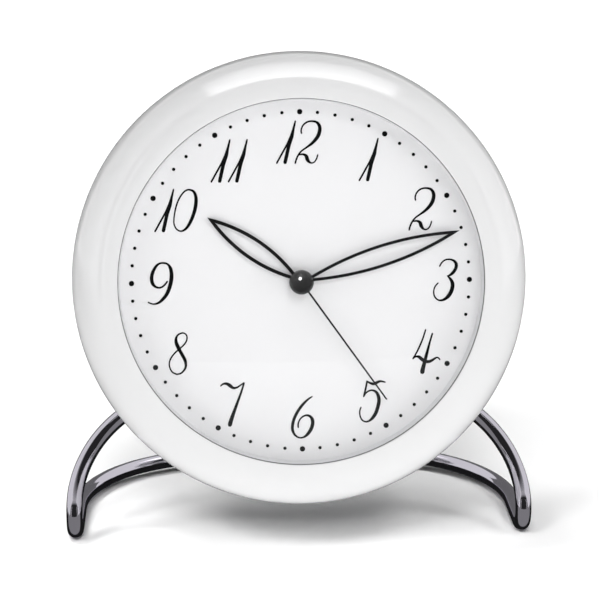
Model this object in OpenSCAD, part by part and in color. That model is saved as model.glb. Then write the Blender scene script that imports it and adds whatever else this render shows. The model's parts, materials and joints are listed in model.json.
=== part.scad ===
// Round table clock with a quartz movement, carried by one bent round rod.
// The origin is on the floor under the middle of the clock's outline. +Z is up and the dial faces -Y.
// Pieces of the case are drawn in the case's own frame: X to the right, Y up the dial, Z out of the dial,
// with Z = 0 at the case's widest circle.

/* [Case] */
// Diameter of the case at its widest circle
case_d = 110; // [104:1:120]
// Radius of the rounded front edge
nose_r = 12; // [11:0.5:13]
// Depth of the case behind its widest circle
case_back = 26; // [25.5:0.5:34]
// Wall of the moulded case
case_wall = 2.4; // [1.8:0.1:2.8]
// Taper of the case side toward the back, in degrees
side_taper = 3; // [0:0.5:4]
// Width of the front band, from the widest circle in to the opening
band_w = 11.4; // [11:0.1:13]
// Thickness of the front lip at the opening
lip_t = 1; // [0.7:0.1:1.5]
// Backward lean of the case, in degrees
case_tilt = 10; // [4:1:16]
// Height of the case nose above the floor
case_clearance = 12.1; // [10:0.1:18]

/* [Lens and dial] */
// Thickness of the lens
lens_t = 1.2; // [0.8:0.1:1.6]
// Rise of the lens at its middle
lens_rise = 2.6; // [2:0.1:4]
// Depth of the dial face below the front lip
dial_depth = 5.4; // [5:0.1:6]
// Thickness of the dial plate
dial_t = 0.8; // [0.5:0.1:1.2]
// Height of a numeral
numeral_h = 10.3; // [8:0.1:11.5]
// Distance from the opening in to the ring that the numerals stand on
numeral_inset = 9.9; // [9.1:0.1:11.6]
// Distance from the opening in to the ring of minute dots
dot_inset = 3.2; // [1.6:0.1:3.6]
// Diameter of an hour dot
hour_dot_d = 1.28; // [0.8:0.02:1.8]
// Diameter of a minute dot
minute_dot_d = 0.81; // [0.5:0.01:1.2]

/* [Hands] */
// Distance from the hour hand's tip out to the opening
hour_hand_inset = 16.5; // [13.6:0.1:21.6]
// Width of the hour hand
hour_hand_w = 5.2; // [4.2:0.1:7]
// Width of the hour hand's outline
hour_hand_line = 0.83; // [0.6:0.01:1]
// Distance from the minute hand's tip out to the opening
minute_hand_inset = 3.9; // [2.6:0.1:9.6]
// Width of the minute hand
minute_hand_w = 5.35; // [4.4:0.05:7]
// Width of the minute hand's outline
minute_hand_line = 0.72; // [0.5:0.01:1]
// Distance from the second hand's tip out to the opening
second_hand_inset = 8.7; // [3.6:0.1:15.6]
// Width of the second hand
second_hand_w = 0.36; // [0.3:0.01:0.8]
// Thickness of a hand
hand_t = 0.3; // [0.2:0.05:0.35]
// Diameter of the ball over the hands
ball_d = 5.9; // [5:0.1:6.4]
// Angle of the hour hand at rest, clockwise from twelve
hour_hand_at = 305; // [0:1:360]
// Angle of the minute hand at rest, clockwise from twelve
minute_hand_at = 72.6; // [0:0.1:360]
// Angle of the second hand at rest, clockwise from twelve
second_hand_at = 144.6; // [0:0.1:360]

/* [Stand] */
// Diameter of the bent rod
rod_d = 4; // [3.4:0.1:4.6]
// Angle at which the rod leaves the case, in degrees below level
leg_angle = 38.6; // [34:0.1:44]
// Distance of the rod behind the case's widest circle
leg_setback = 16.9; // [15:0.1:18]
// Bend radius of the leg
leg_bend_r = 24.9; // [22:0.1:26]
// Lean of the leg's bend toward the front, in degrees
leg_bend_lean = 40.5; // [36:0.1:46]
// Bend radius of the front foot
foot_bend_r = 4.36; // [3:0.02:6]
// Rise of the side rails toward the back, in degrees
rail_rise = 1.35; // [0.8:0.05:2.4]
// Distance of the rear crossbar behind the middle of the case's widest circle
crossbar_back = 51.45; // [46:0.05:60]
// Bend radius of the two rear corners
corner_r = 34.9; // [20:0.1:38]

/* [Movement] */
// Side of the square movement housing
mov_size = 56; // [55.5:0.5:57]
// Depth of the movement housing
mov_depth = 15; // [15:0.1:15.6]
// Wall of the movement housing
mov_wall = 1.2; // [1:0.1:1.4]
// Diameter of the battery
cell_d = 14.5; // [13.5:0.1:14.5]
// Length of the battery with its button
cell_len = 50.5; // [46:0.1:50.5]
// Diameter of the setting knob
knob_d = 9.2; // [7:0.1:9.6]
// Height of the setting knob
knob_h = 3; // [2:0.1:6]

/* [Hidden] */

$fn = 96;

// Clearances and overruns
cut = 1;              // overrun of a cut past the face it opens
run_gap = 0.05;       // radial clearance of a running fit
pass_gap = 0.3;       // clearance round a piece that passes through freely
seat_gap = 0.15;      // radial clearance of a piece dropped into a seat
lay_gap = 0.1;        // clearance between two wheels and plates that lie over each other
sink = 0.4;           // depth that a post runs into the wall that carries it
full_turn = 360;
half_turn = 180;
quarter_turn = 90;

// Case section
case_r = case_d / 2;
nose_x = case_r - nose_r;
window_r = case_r - band_w;
numeral_ring_r = window_r - numeral_inset;
dot_ring_r = window_r - dot_inset;
hour_hand_len = window_r - hour_hand_inset;
minute_hand_len = window_r - minute_hand_inset;
second_hand_len = window_r - second_hand_inset;
lip_front = sqrt(pow(nose_r, 2) - pow(window_r - nose_x, 2));
lens_seat = lip_front - lip_t;
lens_land = 1.5;
lens_r = window_r + lens_land;
collar_wall = 1.8;
collar_in_r = lens_r + seat_gap;
collar_out_r = collar_in_r + collar_wall;
skin_in_r = nose_r - case_wall;
side_top = -nose_r * sin(side_taper);
side_r = nose_x + nose_r * cos(side_taper);
back_r = side_r - (case_back + side_top) * tan(side_taper);
back_in_r = back_r - case_wall / cos(side_taper);
back_chamfer = 0.8;

// Stack along the case axis, front to back
lens_back = lens_seat - lens_t;
dial_front = lip_front - dial_depth;
dial_back = dial_front - dial_t;
chassis_t = 1.8;
mov_front = dial_back - chassis_t;
mov_back = mov_front - mov_depth;
collar_reach = 2;
collar_end = mov_front - collar_reach;
flange_t = 2;
print_t = 0.06;
front_in = mov_front - mov_wall;
back_in = mov_back + mov_wall;

// Screws: shaft radius, head radius and head height of each kind
case_screw_r = 0.9;
case_head_r = 1.8;
case_head_h = 1;
case_screw_grip = 6;
small_screw_r = 0.6;
small_head_r = 1.2;
small_head_h = 0.8;
small_screw_grip = 3.5;
mov_screw_r = 0.8;
mov_head_r = 1.5;
mov_head_h = 0.9;
mount_screw_r = 1;
mount_head_r = 1.9;
clamp_screw_r = 1.5;
drive_slot_w = 0.4;
drive_slot_depth = 0.4;

// Posts in the case
screw_post_r = 2.4;
boss_ring_r = collar_out_r + screw_post_r - sink / 2;
head_web = 0.6;
post_ring_r = back_in_r - case_head_r - pass_gap - head_web;
rear_post_r = back_in_r + sink - post_ring_r;
boss_top = nose_r * 2 / 3;
post_len = 12;
boss_angles = [45, 135, 225, 315];
post_angles = [0, 90, 180, 270];
cover_t = 2;
cover_front = -case_back + cover_t;
flange_r = back_in_r - pass_gap;

// Rod sockets in the case
rod_r = rod_d / 2;
socket_wall = 2.2;
socket_floor = 1;
rod_plug_len = 8.6;
socket_in_r = case_r - rod_plug_len;
socket_out_r = case_r - case_wall * 2 / 3;
clamp_ring_r = socket_in_r + clamp_screw_r + socket_floor + lay_gap;
clamp_wall = 1.2;
clamp_len = -cover_front - leg_setback - socket_floor / 2;

// Rear recess
dish_wall = 2;
dish_in_r = 41;
dish_floor_t = 2;
dish_floor_front = mov_back + dish_floor_t;
mov_corner_r = 3;
window_gap = 0.5;

// Case frame in the clock's frame, and the clock's middle in Y
foot_wall = 1.4;
foot_len = 18;
nose_front = nose_x * sin(case_tilt) + nose_r;
outline_back = crossbar_back + rod_r + foot_wall;
case_y = (nose_front - outline_back) / 2;
case_z = case_clearance + nose_x * cos(case_tilt) + nose_r;

module in_case() {
  translate([0, case_y, case_z]) rotate([quarter_turn - case_tilt, 0, 0]) children();
}

function from_case(d) = [
  d[0],
  d[1] * sin(case_tilt) - d[2] * cos(case_tilt),
  d[1] * cos(case_tilt) + d[2] * sin(case_tilt)
];

// Points on a ring in the case frame, with the angle counted from +X
function on_ring(r, a) = [r * cos(a), r * sin(a)];

module at_ring(r, angles) {
  for (a = angles) translate(on_ring(r, a)) children();
}

// A cylinder along Z from one height to another
module post(r, low, high) {
  translate([0, 0, low]) cylinder(r = r, h = high - low);
}

// A ring section turned about the case axis
module ring(r_in, r_out, low, high) {
  rotate_extrude() translate([r_in, low]) square([r_out - r_in, high - low]);
}

// A flat slab over [x0, x1] and [y0, y1] between two heights
module slab(x0, x1, y0, y1, low, high) {
  translate([x0, y0, low]) cube([x1 - x0, y1 - y0, high - low]);
}

module rounded_square(w, h, r) {
  square([w - 2 * r, h], center = true);
  square([w, h - 2 * r], center = true);
  for (x = [-1, 1], y = [-1, 1]) translate([x * (w / 2 - r), y * (h / 2 - r)]) circle(r = r);
}

// A pan-head screw with its head's face at Z = 0 and its shaft toward +Z
module screw(r, head_r, head_h, grip) {
  difference() {
    union() {
      cylinder(r = head_r, h = head_h);
      cylinder(r = r, h = head_h + grip);
    }
    translate([-head_r, -drive_slot_w / 2, -cut]) cube([2 * head_r, drive_slot_w, cut + drive_slot_depth]);
    translate([-drive_slot_w / 2, -head_r, -cut]) cube([drive_slot_w, 2 * head_r, cut + drive_slot_depth]);
  }
}

// Case

module shell_body_section() {
  intersection() {
    translate([nose_x, 0]) circle(r = nose_r);
    translate([window_r, side_top]) square([case_r, nose_r * 2]);
  }
  polygon([
    [window_r, nose_r / 2], [nose_x + nose_r / 2, nose_r / 2], [side_r, side_top],
    [back_r, back_chamfer - case_back], [back_r - back_chamfer, -case_back], [window_r, -case_back]
  ]);
}

module shell_hollow_section() {
  skin_top = -skin_in_r * sin(side_taper);
  difference() {
    union() {
      intersection() {
        translate([nose_x, 0]) circle(r = skin_in_r);
        translate([0, skin_top]) square([case_r, nose_r * 2]);
      }
      polygon([
        [0, collar_end], [nose_x + skin_in_r / 2, collar_end],
        [nose_x + skin_in_r * cos(side_taper), skin_top],
        [back_in_r - cut * tan(side_taper), -case_back - cut], [0, -case_back - cut]
      ]);
    }
    translate([0, collar_end]) square([collar_out_r, nose_r]);
  }
  translate([0, -case_back - cut]) square([collar_in_r, lens_seat + case_back + cut]);
}

// Radial cylinder at a rod's place in the case, on the right side
module along_leg(r, r_in, r_out) {
  translate([0, 0, -leg_setback]) rotate([0, 0, -leg_angle]) rotate([0, quarter_turn, 0])
    translate([0, 0, r_in]) cylinder(r = r, h = r_out - r_in);
}

module both_sides() {
  children();
  mirror([1, 0, 0]) children();
}

module case_shell() color([0.93, 0.93, 0.94]) in_case() {
  difference() {
    union() {
      rotate_extrude() difference() {
        shell_body_section();
        shell_hollow_section();
      }
      at_ring(boss_ring_r, boss_angles) post(screw_post_r, collar_end, boss_top);
      at_ring(post_ring_r, post_angles) post(rear_post_r, cover_front, cover_front + post_len);
      both_sides() along_leg(rod_r + socket_wall, socket_in_r - socket_floor, socket_out_r);
      both_sides() translate(on_ring(clamp_ring_r, -leg_angle))
        post(clamp_screw_r + clamp_wall, -leg_setback - clamp_len, -leg_setback);
    }
    at_ring(boss_ring_r, boss_angles) post(case_screw_r, collar_end - cut, collar_end + case_screw_grip);
    at_ring(post_ring_r, post_angles)
      post(case_screw_r, cover_front - cut, cover_front + case_screw_grip + cut);
    both_sides() along_leg(rod_r + run_gap, socket_in_r, case_r + cut);
    both_sides() translate(on_ring(clamp_ring_r, -leg_angle))
      post(clamp_screw_r, -leg_setback - clamp_len - cut, -leg_setback);
  }
}

module front_lens() color([0.85, 0.92, 0.95, 0.25]) in_case() {
  dome_x = window_r - seat_gap;
  dome_r = (pow(dome_x, 2) + pow(lens_rise, 2)) / (2 * lens_rise);
  rotate_extrude() {
    difference() {
      intersection() {
        translate([0, lens_seat + lens_rise - dome_r]) circle(r = dome_r);
        translate([0, lens_back]) square([dome_x, lens_rise + lens_t + cut]);
      }
      translate([0, lens_back + lens_rise - dome_r]) circle(r = dome_r);
    }
    translate([dome_x - lens_land, lens_back]) square([lens_r - dome_x + lens_land, lens_t]);
  }
}

spacer_draft = 0.5;

module lens_spacer_ring() color([0.92, 0.92, 0.93]) in_case() {
  ring_in_r = window_r + lay_gap;
  rotate_extrude() polygon([
    [ring_in_r, lens_back], [lens_r, lens_back], [lens_r, dial_front], [ring_in_r - spacer_draft, dial_front]
  ]);
}

module dial_plate() color([0.94, 0.94, 0.95]) in_case() {
  ring(hour_pipe_r + pass_gap, lens_r, dial_back, dial_front);
}

// Numerals: strokes are smooth curves through [x, y, width], in shares of a numeral's height

numeral_width_shares = [0.575, 0.479, 0.618, 0.588, 0.657, 0.62, 0.547, 0.572, 0.455, 0.598];
pair_step_shares = [0.444, 0.396, 0.443];
numeral_nudge_shares = [
  [-0.03, -0.05], [-0.05, -0.03], [-0.01, 0.02], [0.09, -0.01], [0.08, -0.02], [0.01, 0],
  [0.01, 0.09], [0.02, 0], [-0.04, -0.01], [0.02, -0.01], [-0.04, 0.04], [0, -0.03]
];

one_outline_shares = [
  [0.443, 0.995], [0.384, 0.802], [0.326, 0.639], [0.252, 0.474], [0.002, 0.032], [0.012, 0.004],
  [0.036, 0.006], [0.252, 0.384], [0.173, 0.04], [0.185, 0.006], [0.215, 0], [0.245, 0.006], [0.257, 0.04],
  [0.343, 0.41], [0.416, 0.622], [0.44, 0.786], [0.479, 0.991], [0.46, 1]
];

zero_stroke_shares = [
  [0.368, 0.977, 0.041], [0.473, 0.936, 0.06], [0.523, 0.832, 0.074], [0.53, 0.702, 0.083],
  [0.507, 0.539, 0.083], [0.457, 0.377, 0.08], [0.384, 0.214, 0.074], [0.295, 0.084, 0.06],
  [0.182, 0.02, 0.041], [0.075, 0.068, 0.037], [0.018, 0.182, 0.034], [0.018, 0.327, 0.034],
  [0.052, 0.523, 0.037], [0.109, 0.702, 0.039], [0.189, 0.848, 0.039], [0.28, 0.945, 0.039]
];

stroke_shares = [
  [],
  [],
  [
    [
      [0.156, 0.703, 0.037], [0.148, 0.779, 0.036], [0.192, 0.885, 0.039], [0.282, 0.959, 0.041],
      [0.398, 0.98, 0.044], [0.512, 0.951, 0.06], [0.57, 0.869, 0.078], [0.578, 0.77, 0.085],
      [0.545, 0.655, 0.087], [0.48, 0.557, 0.08], [0.381, 0.458, 0.064], [0.266, 0.376, 0.046],
      [0.151, 0.294, 0.037], [0.078, 0.204, 0.042], [0.028, 0.097, 0.042], [0.007, 0.014, 0.037]
    ],
    [
      [0.11, 0.212, 0.037], [0.184, 0.22, 0.046], [0.257, 0.186, 0.074], [0.282, 0.113, 0.088],
      [0.323, 0.048, 0.06], [0.381, 0.018, 0.037], [0.447, 0.04, 0.034], [0.499, 0.113, 0.034],
      [0.526, 0.204, 0.034]
    ]
  ],
  [
    [
      [0.161, 0.825, 0.034], [0.207, 0.906, 0.035], [0.287, 0.97, 0.039], [0.386, 0.985, 0.041],
      [0.485, 0.955, 0.055], [0.543, 0.883, 0.074], [0.543, 0.791, 0.078], [0.494, 0.701, 0.076],
      [0.428, 0.634, 0.064], [0.355, 0.594, 0.03]
    ],
    [
      [0.338, 0.602, 0.024], [0.402, 0.538, 0.06], [0.453, 0.446, 0.083], [0.46, 0.347, 0.09],
      [0.428, 0.232, 0.092], [0.361, 0.126, 0.087], [0.271, 0.053, 0.064], [0.182, 0.028, 0.046],
      [0.099, 0.053, 0.037], [0.034, 0.136, 0.036], [0.021, 0.251, 0.035], [0.053, 0.356, 0.034],
      [0.12, 0.434, 0.034]
    ]
  ],
  [
    [
      [0.31, 0.991, 0.035], [0.239, 0.768, 0.039], [0.149, 0.561, 0.041], [0.067, 0.405, 0.037],
      [0.014, 0.32, 0.039]
    ],
    [
      [0.469, 0.899, 0.041], [0.411, 0.71, 0.046], [0.354, 0.497, 0.064], [0.297, 0.283, 0.08],
      [0.246, 0.085, 0.1], [0.23, 0.004, 0.11]
    ],
    [
      [0.02, 0.325, 0.035], [0.083, 0.366, 0.04], [0.156, 0.356, 0.074], [0.223, 0.299, 0.083],
      [0.303, 0.251, 0.078], [0.395, 0.246, 0.07], [0.476, 0.283, 0.06], [0.559, 0.336, 0.041],
      [0.616, 0.324, 0.035], [0.641, 0.285, 0.034]
    ]
  ],
  [
    [[0.186, 0.977, 0.044], [0.149, 0.795, 0.046], [0.106, 0.623, 0.041]],
    [
      [0.18, 0.98, 0.037], [0.248, 0.943, 0.05], [0.331, 0.915, 0.069], [0.414, 0.947, 0.069],
      [0.478, 0.975, 0.055], [0.545, 0.97, 0.044], [0.607, 0.952, 0.034]
    ],
    [
      [0.106, 0.628, 0.037], [0.159, 0.706, 0.037], [0.232, 0.754, 0.039], [0.315, 0.766, 0.044],
      [0.398, 0.722, 0.064], [0.446, 0.632, 0.078], [0.462, 0.517, 0.083], [0.437, 0.386, 0.085],
      [0.389, 0.237, 0.083], [0.315, 0.122, 0.074], [0.232, 0.048, 0.05], [0.143, 0.028, 0.039],
      [0.06, 0.074, 0.037], [0.016, 0.172, 0.036], [0.011, 0.287, 0.035], [0.039, 0.368, 0.034]
    ]
  ],
  [
    [
      [0.497, 0.985, 0.034], [0.398, 0.92, 0.046], [0.276, 0.8, 0.064], [0.161, 0.644, 0.069],
      [0.078, 0.48, 0.071], [0.037, 0.331, 0.071], [0.037, 0.2, 0.067], [0.094, 0.085, 0.05],
      [0.193, 0.024, 0.039], [0.299, 0.037, 0.046], [0.398, 0.117, 0.074], [0.471, 0.232, 0.083],
      [0.506, 0.347, 0.083], [0.497, 0.455, 0.078], [0.439, 0.529, 0.06], [0.356, 0.549, 0.046],
      [0.267, 0.513, 0.039], [0.2, 0.439, 0.035], [0.168, 0.347, 0.039], [0.168, 0.267, 0.037]
    ]
  ],
  [
    [
      [0.011, 0.92, 0.035], [0.069, 0.965, 0.046], [0.152, 0.968, 0.069], [0.225, 0.924, 0.083],
      [0.299, 0.869, 0.064], [0.382, 0.876, 0.046], [0.462, 0.924, 0.037], [0.55, 0.984, 0.034]
    ],
    [
      [0.554, 0.98, 0.041], [0.48, 0.752, 0.05], [0.382, 0.49, 0.064], [0.29, 0.244, 0.083],
      [0.232, 0.071, 0.097], [0.213, 0.004, 0.1]
    ]
  ],
  [
    [
      [0.345, 0.984, 0.037], [0.251, 0.952, 0.041], [0.193, 0.874, 0.055], [0.189, 0.775, 0.078],
      [0.225, 0.669, 0.087], [0.274, 0.57, 0.078], [0.331, 0.462, 0.078], [0.389, 0.347, 0.074],
      [0.407, 0.232, 0.06], [0.382, 0.136, 0.05], [0.292, 0.04, 0.039], [0.18, 0.018, 0.037]
    ],
    [
      [0.2, 0.018, 0.036], [0.094, 0.069, 0.035], [0.032, 0.184, 0.034], [0.028, 0.299, 0.034],
      [0.069, 0.405, 0.037], [0.159, 0.52, 0.037], [0.274, 0.618, 0.037], [0.372, 0.71, 0.037],
      [0.434, 0.807, 0.035], [0.439, 0.906, 0.034], [0.398, 0.966, 0.034], [0.33, 0.984, 0.036]
    ]
  ],
  [
    [
      [0.453, 0.545, 0.041], [0.379, 0.455, 0.044], [0.287, 0.405, 0.044], [0.189, 0.423, 0.055],
      [0.115, 0.503, 0.078], [0.092, 0.628, 0.083], [0.124, 0.768, 0.078], [0.198, 0.899, 0.064],
      [0.28, 0.965, 0.046], [0.379, 0.976, 0.046], [0.469, 0.946, 0.05], [0.533, 0.848, 0.078],
      [0.554, 0.71, 0.09], [0.543, 0.561, 0.092], [0.501, 0.398, 0.09], [0.437, 0.251, 0.083],
      [0.345, 0.136, 0.074], [0.246, 0.053, 0.055], [0.14, 0.025, 0.039], [0.057, 0.044, 0.035],
      [0.009, 0.069, 0.034]
    ]
  ]
];

// Smooth curve through a list of points: the value at share t between points i and i + 1
function curve_at(p, i, t, closed) =
  let (
    n = len(p),
    a = closed ? p[(i + n - 1) % n] : p[max(i - 1, 0)],
    b = p[i],
    c = closed ? p[(i + 1) % n] : p[i + 1],
    d = closed ? p[(i + 2) % n] : p[min(i + 2, n - 1)]
  )
  (2 * b + (c - a) * t + (2 * a - 5 * b + 4 * c - d) * t * t + (3 * b - a - 3 * c + d) * t * t * t) / 2;

curve_steps = 3;
function curve(p, closed) = [
  for (i = [0:len(p) - (closed ? 1 : 2)], k = [0:curve_steps - 1]) curve_at(p, i, k / curve_steps, closed),
  if (!closed) p[len(p) - 1]
];

function flat(p) = [p[0], p[1]];
function unit(v) = v / norm(v);

// Direction along a curve at point i, and the side of the stroke at that point
function heading(q, i, closed) =
  let (n = len(q))
  unit(flat(closed ? q[(i + 1) % n] - q[(i + n - 1) % n] : q[min(i + 1, n - 1)] - q[max(i - 1, 0)]));
function side_point(q, i, side, closed) =
  let (h = heading(q, i, closed))
  flat(q[i]) + side * q[i][2] / 2 * [-h[1], h[0]];

// Round end of a stroke, from its left side to its right side
cap_steps = 3;
function cap(q, i, turn) =
  let (h = heading(q, i, false) * turn, w = q[i][2] / 2)
  [for (k = [1:cap_steps - 1]) let (a = half_turn * k / cap_steps)
    flat(q[i]) + w * (cos(a) * turn * [-h[1], h[0]] * turn + sin(a) * h)];

module open_stroke(shares) {
  q = curve(shares, false);
  n = len(q);
  polygon(concat(
    [for (i = [0:n - 1]) side_point(q, i, 1, false)],
    cap(q, n - 1, 1),
    [for (i = [n - 1:-1:0]) side_point(q, i, -1, false)],
    cap(q, 0, -1)
  ) * numeral_h);
}

module closed_stroke(shares) {
  q = curve(shares, true);
  n = len(q);
  difference() {
    polygon([for (i = [0:n - 1]) side_point(q, i, 1, true)] * numeral_h);
    polygon([for (i = [0:n - 1]) side_point(q, i, -1, true)] * numeral_h);
  }
}

module digit(d) {
  if (d == 0) closed_stroke(zero_stroke_shares);
  else if (d == 1) polygon(one_outline_shares * numeral_h);
  else for (s = stroke_shares[d]) open_stroke(s);
}

// A numeral with the middle of its outline at the origin
module numeral(hour) {
  last = hour % 10;
  step_share = hour < 10 ? 0 : pair_step_shares[last];
  width_share = step_share + numeral_width_shares[last];
  translate([-width_share * numeral_h / 2, -numeral_h / 2]) {
    if (hour >= 10) digit(1);
    translate([step_share * numeral_h, 0]) digit(last);
  }
}

hours = 12;
minutes = 60;
minutes_an_hour_mark = minutes / hours;

module dial_numerals() color([0.06, 0.06, 0.06]) in_case() {
  for (hour = [1:hours]) {
    a = hour * full_turn / hours;
    translate([numeral_ring_r * sin(a), numeral_ring_r * cos(a), dial_front])
      translate(numeral_nudge_shares[hour % hours] * numeral_h)
        linear_extrude(print_t) numeral(hour);
  }
}

module hour_dots() color([0.06, 0.06, 0.06]) in_case() {
  at_ring(dot_ring_r, [for (i = [0:hours - 1]) i * full_turn / hours])
    post(hour_dot_d / 2, dial_front, dial_front + print_t);
}

module minute_dots() color([0.06, 0.06, 0.06]) in_case() {
  at_ring(dot_ring_r, [for (i = [0:minutes - 1]) if (i % minutes_an_hour_mark != 0) i * full_turn / minutes])
    post(minute_dot_d / 2, dial_front, dial_front + print_t);
}

// Hands

second_arbor_r = 0.45;
cannon_in_r = second_arbor_r + run_gap;
cannon_r = 1.1;
hour_pipe_in_r = cannon_r + run_gap + run_gap / 2;
hour_pipe_r = 1.6;
hour_hand_low = dial_front + 2 * pass_gap;
minute_hand_low = hour_hand_low + hand_t + pass_gap + lay_gap;
second_hand_low = minute_hand_low + hand_t + pass_gap;
needle_t = 0.2;
ball_low = second_hand_low + needle_t;
ball_r = ball_d / 2;
ball_skirt = 0.3;
hub_wall = 0.9;
hour_hub_r = hour_pipe_r + hub_wall;
minute_hub_r = cannon_r + hub_wall;
second_hub_r = second_arbor_r + hub_wall;

module clockwise(a) {
  rotate([0, 0, -a]) children();
}

// A leaf between two arcs that meet at the centre and at the tip
module leaf(len, w, inset) {
  arc_r = (pow(w / 2, 2) + pow(len / 2, 2)) / w;
  intersection_for (side = [-1, 1])
    translate([side * (arc_r - w / 2), len / 2]) circle(r = arc_r - inset);
}

module leaf_hand(len, w, line, hub_r, bore_r, low, at) {
  translate([0, 0, low]) clockwise(at) linear_extrude(hand_t) difference() {
    union() {
      difference() {
        leaf(len, w, 0);
        leaf(len, w, line);
      }
      circle(r = hub_r);
    }
    circle(r = bore_r);
  }
}

module hour_hand() color([0.05, 0.05, 0.05]) in_case()
  leaf_hand(hour_hand_len, hour_hand_w, hour_hand_line, hour_hub_r, hour_pipe_r, hour_hand_low,
    hour_hand_at);

module minute_hand() color([0.05, 0.05, 0.05]) in_case()
  leaf_hand(minute_hand_len, minute_hand_w, minute_hand_line, minute_hub_r, cannon_r, minute_hand_low,
    minute_hand_at);

module second_hand() color([0.05, 0.05, 0.05]) in_case()
  translate([0, 0, second_hand_low]) clockwise(second_hand_at) linear_extrude(needle_t) difference() {
    union() {
      circle(r = second_hub_r);
      translate([-second_hand_w / 2, 0]) square([second_hand_w, second_hand_len]);
    }
    circle(r = second_arbor_r);
  }

module centre_ball() color([0.03, 0.03, 0.03]) in_case() {
  difference() {
    rotate_extrude() intersection() {
      translate([0, ball_low + ball_skirt]) circle(r = ball_r);
      translate([0, ball_low]) square([ball_d, ball_d]);
    }
    post(second_arbor_r, ball_low - cut, ball_low + ball_r / 2);
  }
}

// Chassis and rear cover

chassis_rim = 2;

module dial_chassis() color([0.85, 0.85, 0.86]) in_case() {
  difference() {
    union() {
      ring(hour_pipe_r + 2 * pass_gap, lens_r, mov_front, dial_back);
      ring(lens_r - chassis_rim, lens_r, collar_end - flange_t, dial_back);
      ring(lens_r - chassis_rim, flange_r, collar_end - flange_t, collar_end);
    }
    at_ring(boss_ring_r, boss_angles)
      post(case_screw_r + pass_gap / 2, collar_end - flange_t - cut, collar_end + cut);
    at_points(ear_screws) post(mount_screw_r, mov_front - cut, dial_back + cut);
  }
}

module chassis_screws() color([0.7, 0.7, 0.72]) in_case()
  at_ring(boss_ring_r, boss_angles) translate([0, 0, collar_end - flange_t - case_head_h])
    screw(case_screw_r, case_head_r, case_head_h, case_screw_grip);

module rear_cover() color([0.9, 0.9, 0.91]) in_case() {
  dish_out_r = dish_in_r + dish_wall;
  difference() {
    union() {
      ring(dish_in_r, flange_r, -case_back, cover_front);
      ring(dish_in_r, dish_out_r, -case_back, dish_floor_front);
      post(dish_out_r, mov_back, dish_floor_front);
    }
    translate([0, 0, mov_back - cut]) linear_extrude(dish_floor_t + 2 * cut)
      rounded_square(mov_size + 2 * window_gap, mov_size + 2 * window_gap, mov_corner_r + window_gap);
    at_ring(post_ring_r, post_angles) {
      post(case_screw_r + pass_gap / 2, -case_back - cut, cover_front + cut);
      post(case_head_r + pass_gap / 2, -case_back - cut, -case_back + case_head_h);
    }
  }
}

module rear_cover_screws() color([0.7, 0.7, 0.72]) in_case()
  at_ring(post_ring_r, post_angles) translate([0, 0, -case_back])
    screw(case_screw_r, case_head_r, case_head_h, case_screw_grip);

// Stand: the rod leaves the case along leg_out, bends to leg_down, turns at the foot to rail_dir
// and runs back to the crossbar

leg_out = from_case(on_leg(1, 0));
leg_turn_to = from_case([
  -sin(leg_angle) * cos(leg_bend_lean), -cos(leg_angle) * cos(leg_bend_lean), sin(leg_bend_lean)
]);
function on_leg(r, depth) = [r * cos(leg_angle), -r * sin(leg_angle), depth];
leg_bend = atan2(leg_out[0], -leg_turn_to[0]);
leg_down = cos(leg_bend) * leg_out + sin(leg_bend) * leg_turn_to;
rail_dir = [0, cos(rail_rise), sin(rail_rise)];
inward = [-1, 0, 0];
foot_turn_to = [0, -leg_down[2], leg_down[1]];
foot_bend = acos(leg_down * rail_dir);
leg_start = [0, case_y, case_z] + from_case(on_leg(socket_in_r, -leg_setback));
bend_drop = leg_bend_r * (sin(leg_bend) * leg_out[2] + (1 - cos(leg_bend)) * leg_turn_to[2]);
foot_start_z = rod_r + foot_bend_r - foot_bend_r * foot_turn_to[2];
leg_len = (foot_start_z - bend_drop - leg_start[2]) / leg_out[2];
bend_start = leg_start + leg_len * leg_out;
foot_start = after_bend(bend_start, leg_out, leg_turn_to, leg_bend_r, leg_bend);
rail_start = after_bend(foot_start, leg_down, foot_turn_to, foot_bend_r, foot_bend);
rail_len = (case_y + crossbar_back - corner_r * rail_dir[1] - rail_start[1]) / rail_dir[1];
corner_start = rail_start + rail_len * rail_dir;
crossbar_start = after_bend(corner_start, rail_dir, inward, corner_r, quarter_turn);

function after_bend(p, d, w, r, a) = p + r * (sin(a) * d + (1 - cos(a)) * w);

// Frame at p with its Z along d and its X away from w
module frame_at(p, x, y, z) {
  multmatrix([
    [x[0], y[0], z[0], p[0]],
    [x[1], y[1], z[1], p[1]],
    [x[2], y[2], z[2], p[2]],
    [0, 0, 0, 1]
  ]) children();
}

module straight(p, d, w, len) {
  frame_at(p, -w, cross(d, -w), d) cylinder(r = rod_r, h = len);
}

module bend(p, d, w, r, a) {
  frame_at(p + r * w, -w, d, cross(d, w)) rotate_extrude(angle = a) translate([r, 0]) circle(r = rod_r);
}

// A core through a joint makes the two stretches that meet there one piece
core_r = rod_r - run_gap;
core_len = rod_r / 2;
module joint_core(p, d, w) {
  frame_at(p - core_len / 2 * d, -w, cross(d, -w), d) cylinder(r = core_r, h = core_len);
}

module stand_side() {
  straight(leg_start, leg_out, leg_turn_to, leg_len);
  joint_core(bend_start, leg_out, leg_turn_to);
  bend(bend_start, leg_out, leg_turn_to, leg_bend_r, leg_bend);
  joint_core(foot_start, leg_down, foot_turn_to);
  bend(foot_start, leg_down, foot_turn_to, foot_bend_r, foot_bend);
  joint_core(rail_start, rail_dir, inward);
  straight(rail_start, rail_dir, inward, rail_len);
  joint_core(corner_start, rail_dir, inward);
  bend(corner_start, rail_dir, inward, corner_r, quarter_turn);
  joint_core(crossbar_start, inward, -rail_dir);
}

module stand_rod() color([0.75, 0.76, 0.78]) {
  both_sides() stand_side();
  straight(crossbar_start, inward, -rail_dir, 2 * crossbar_start[0]);
}

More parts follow.
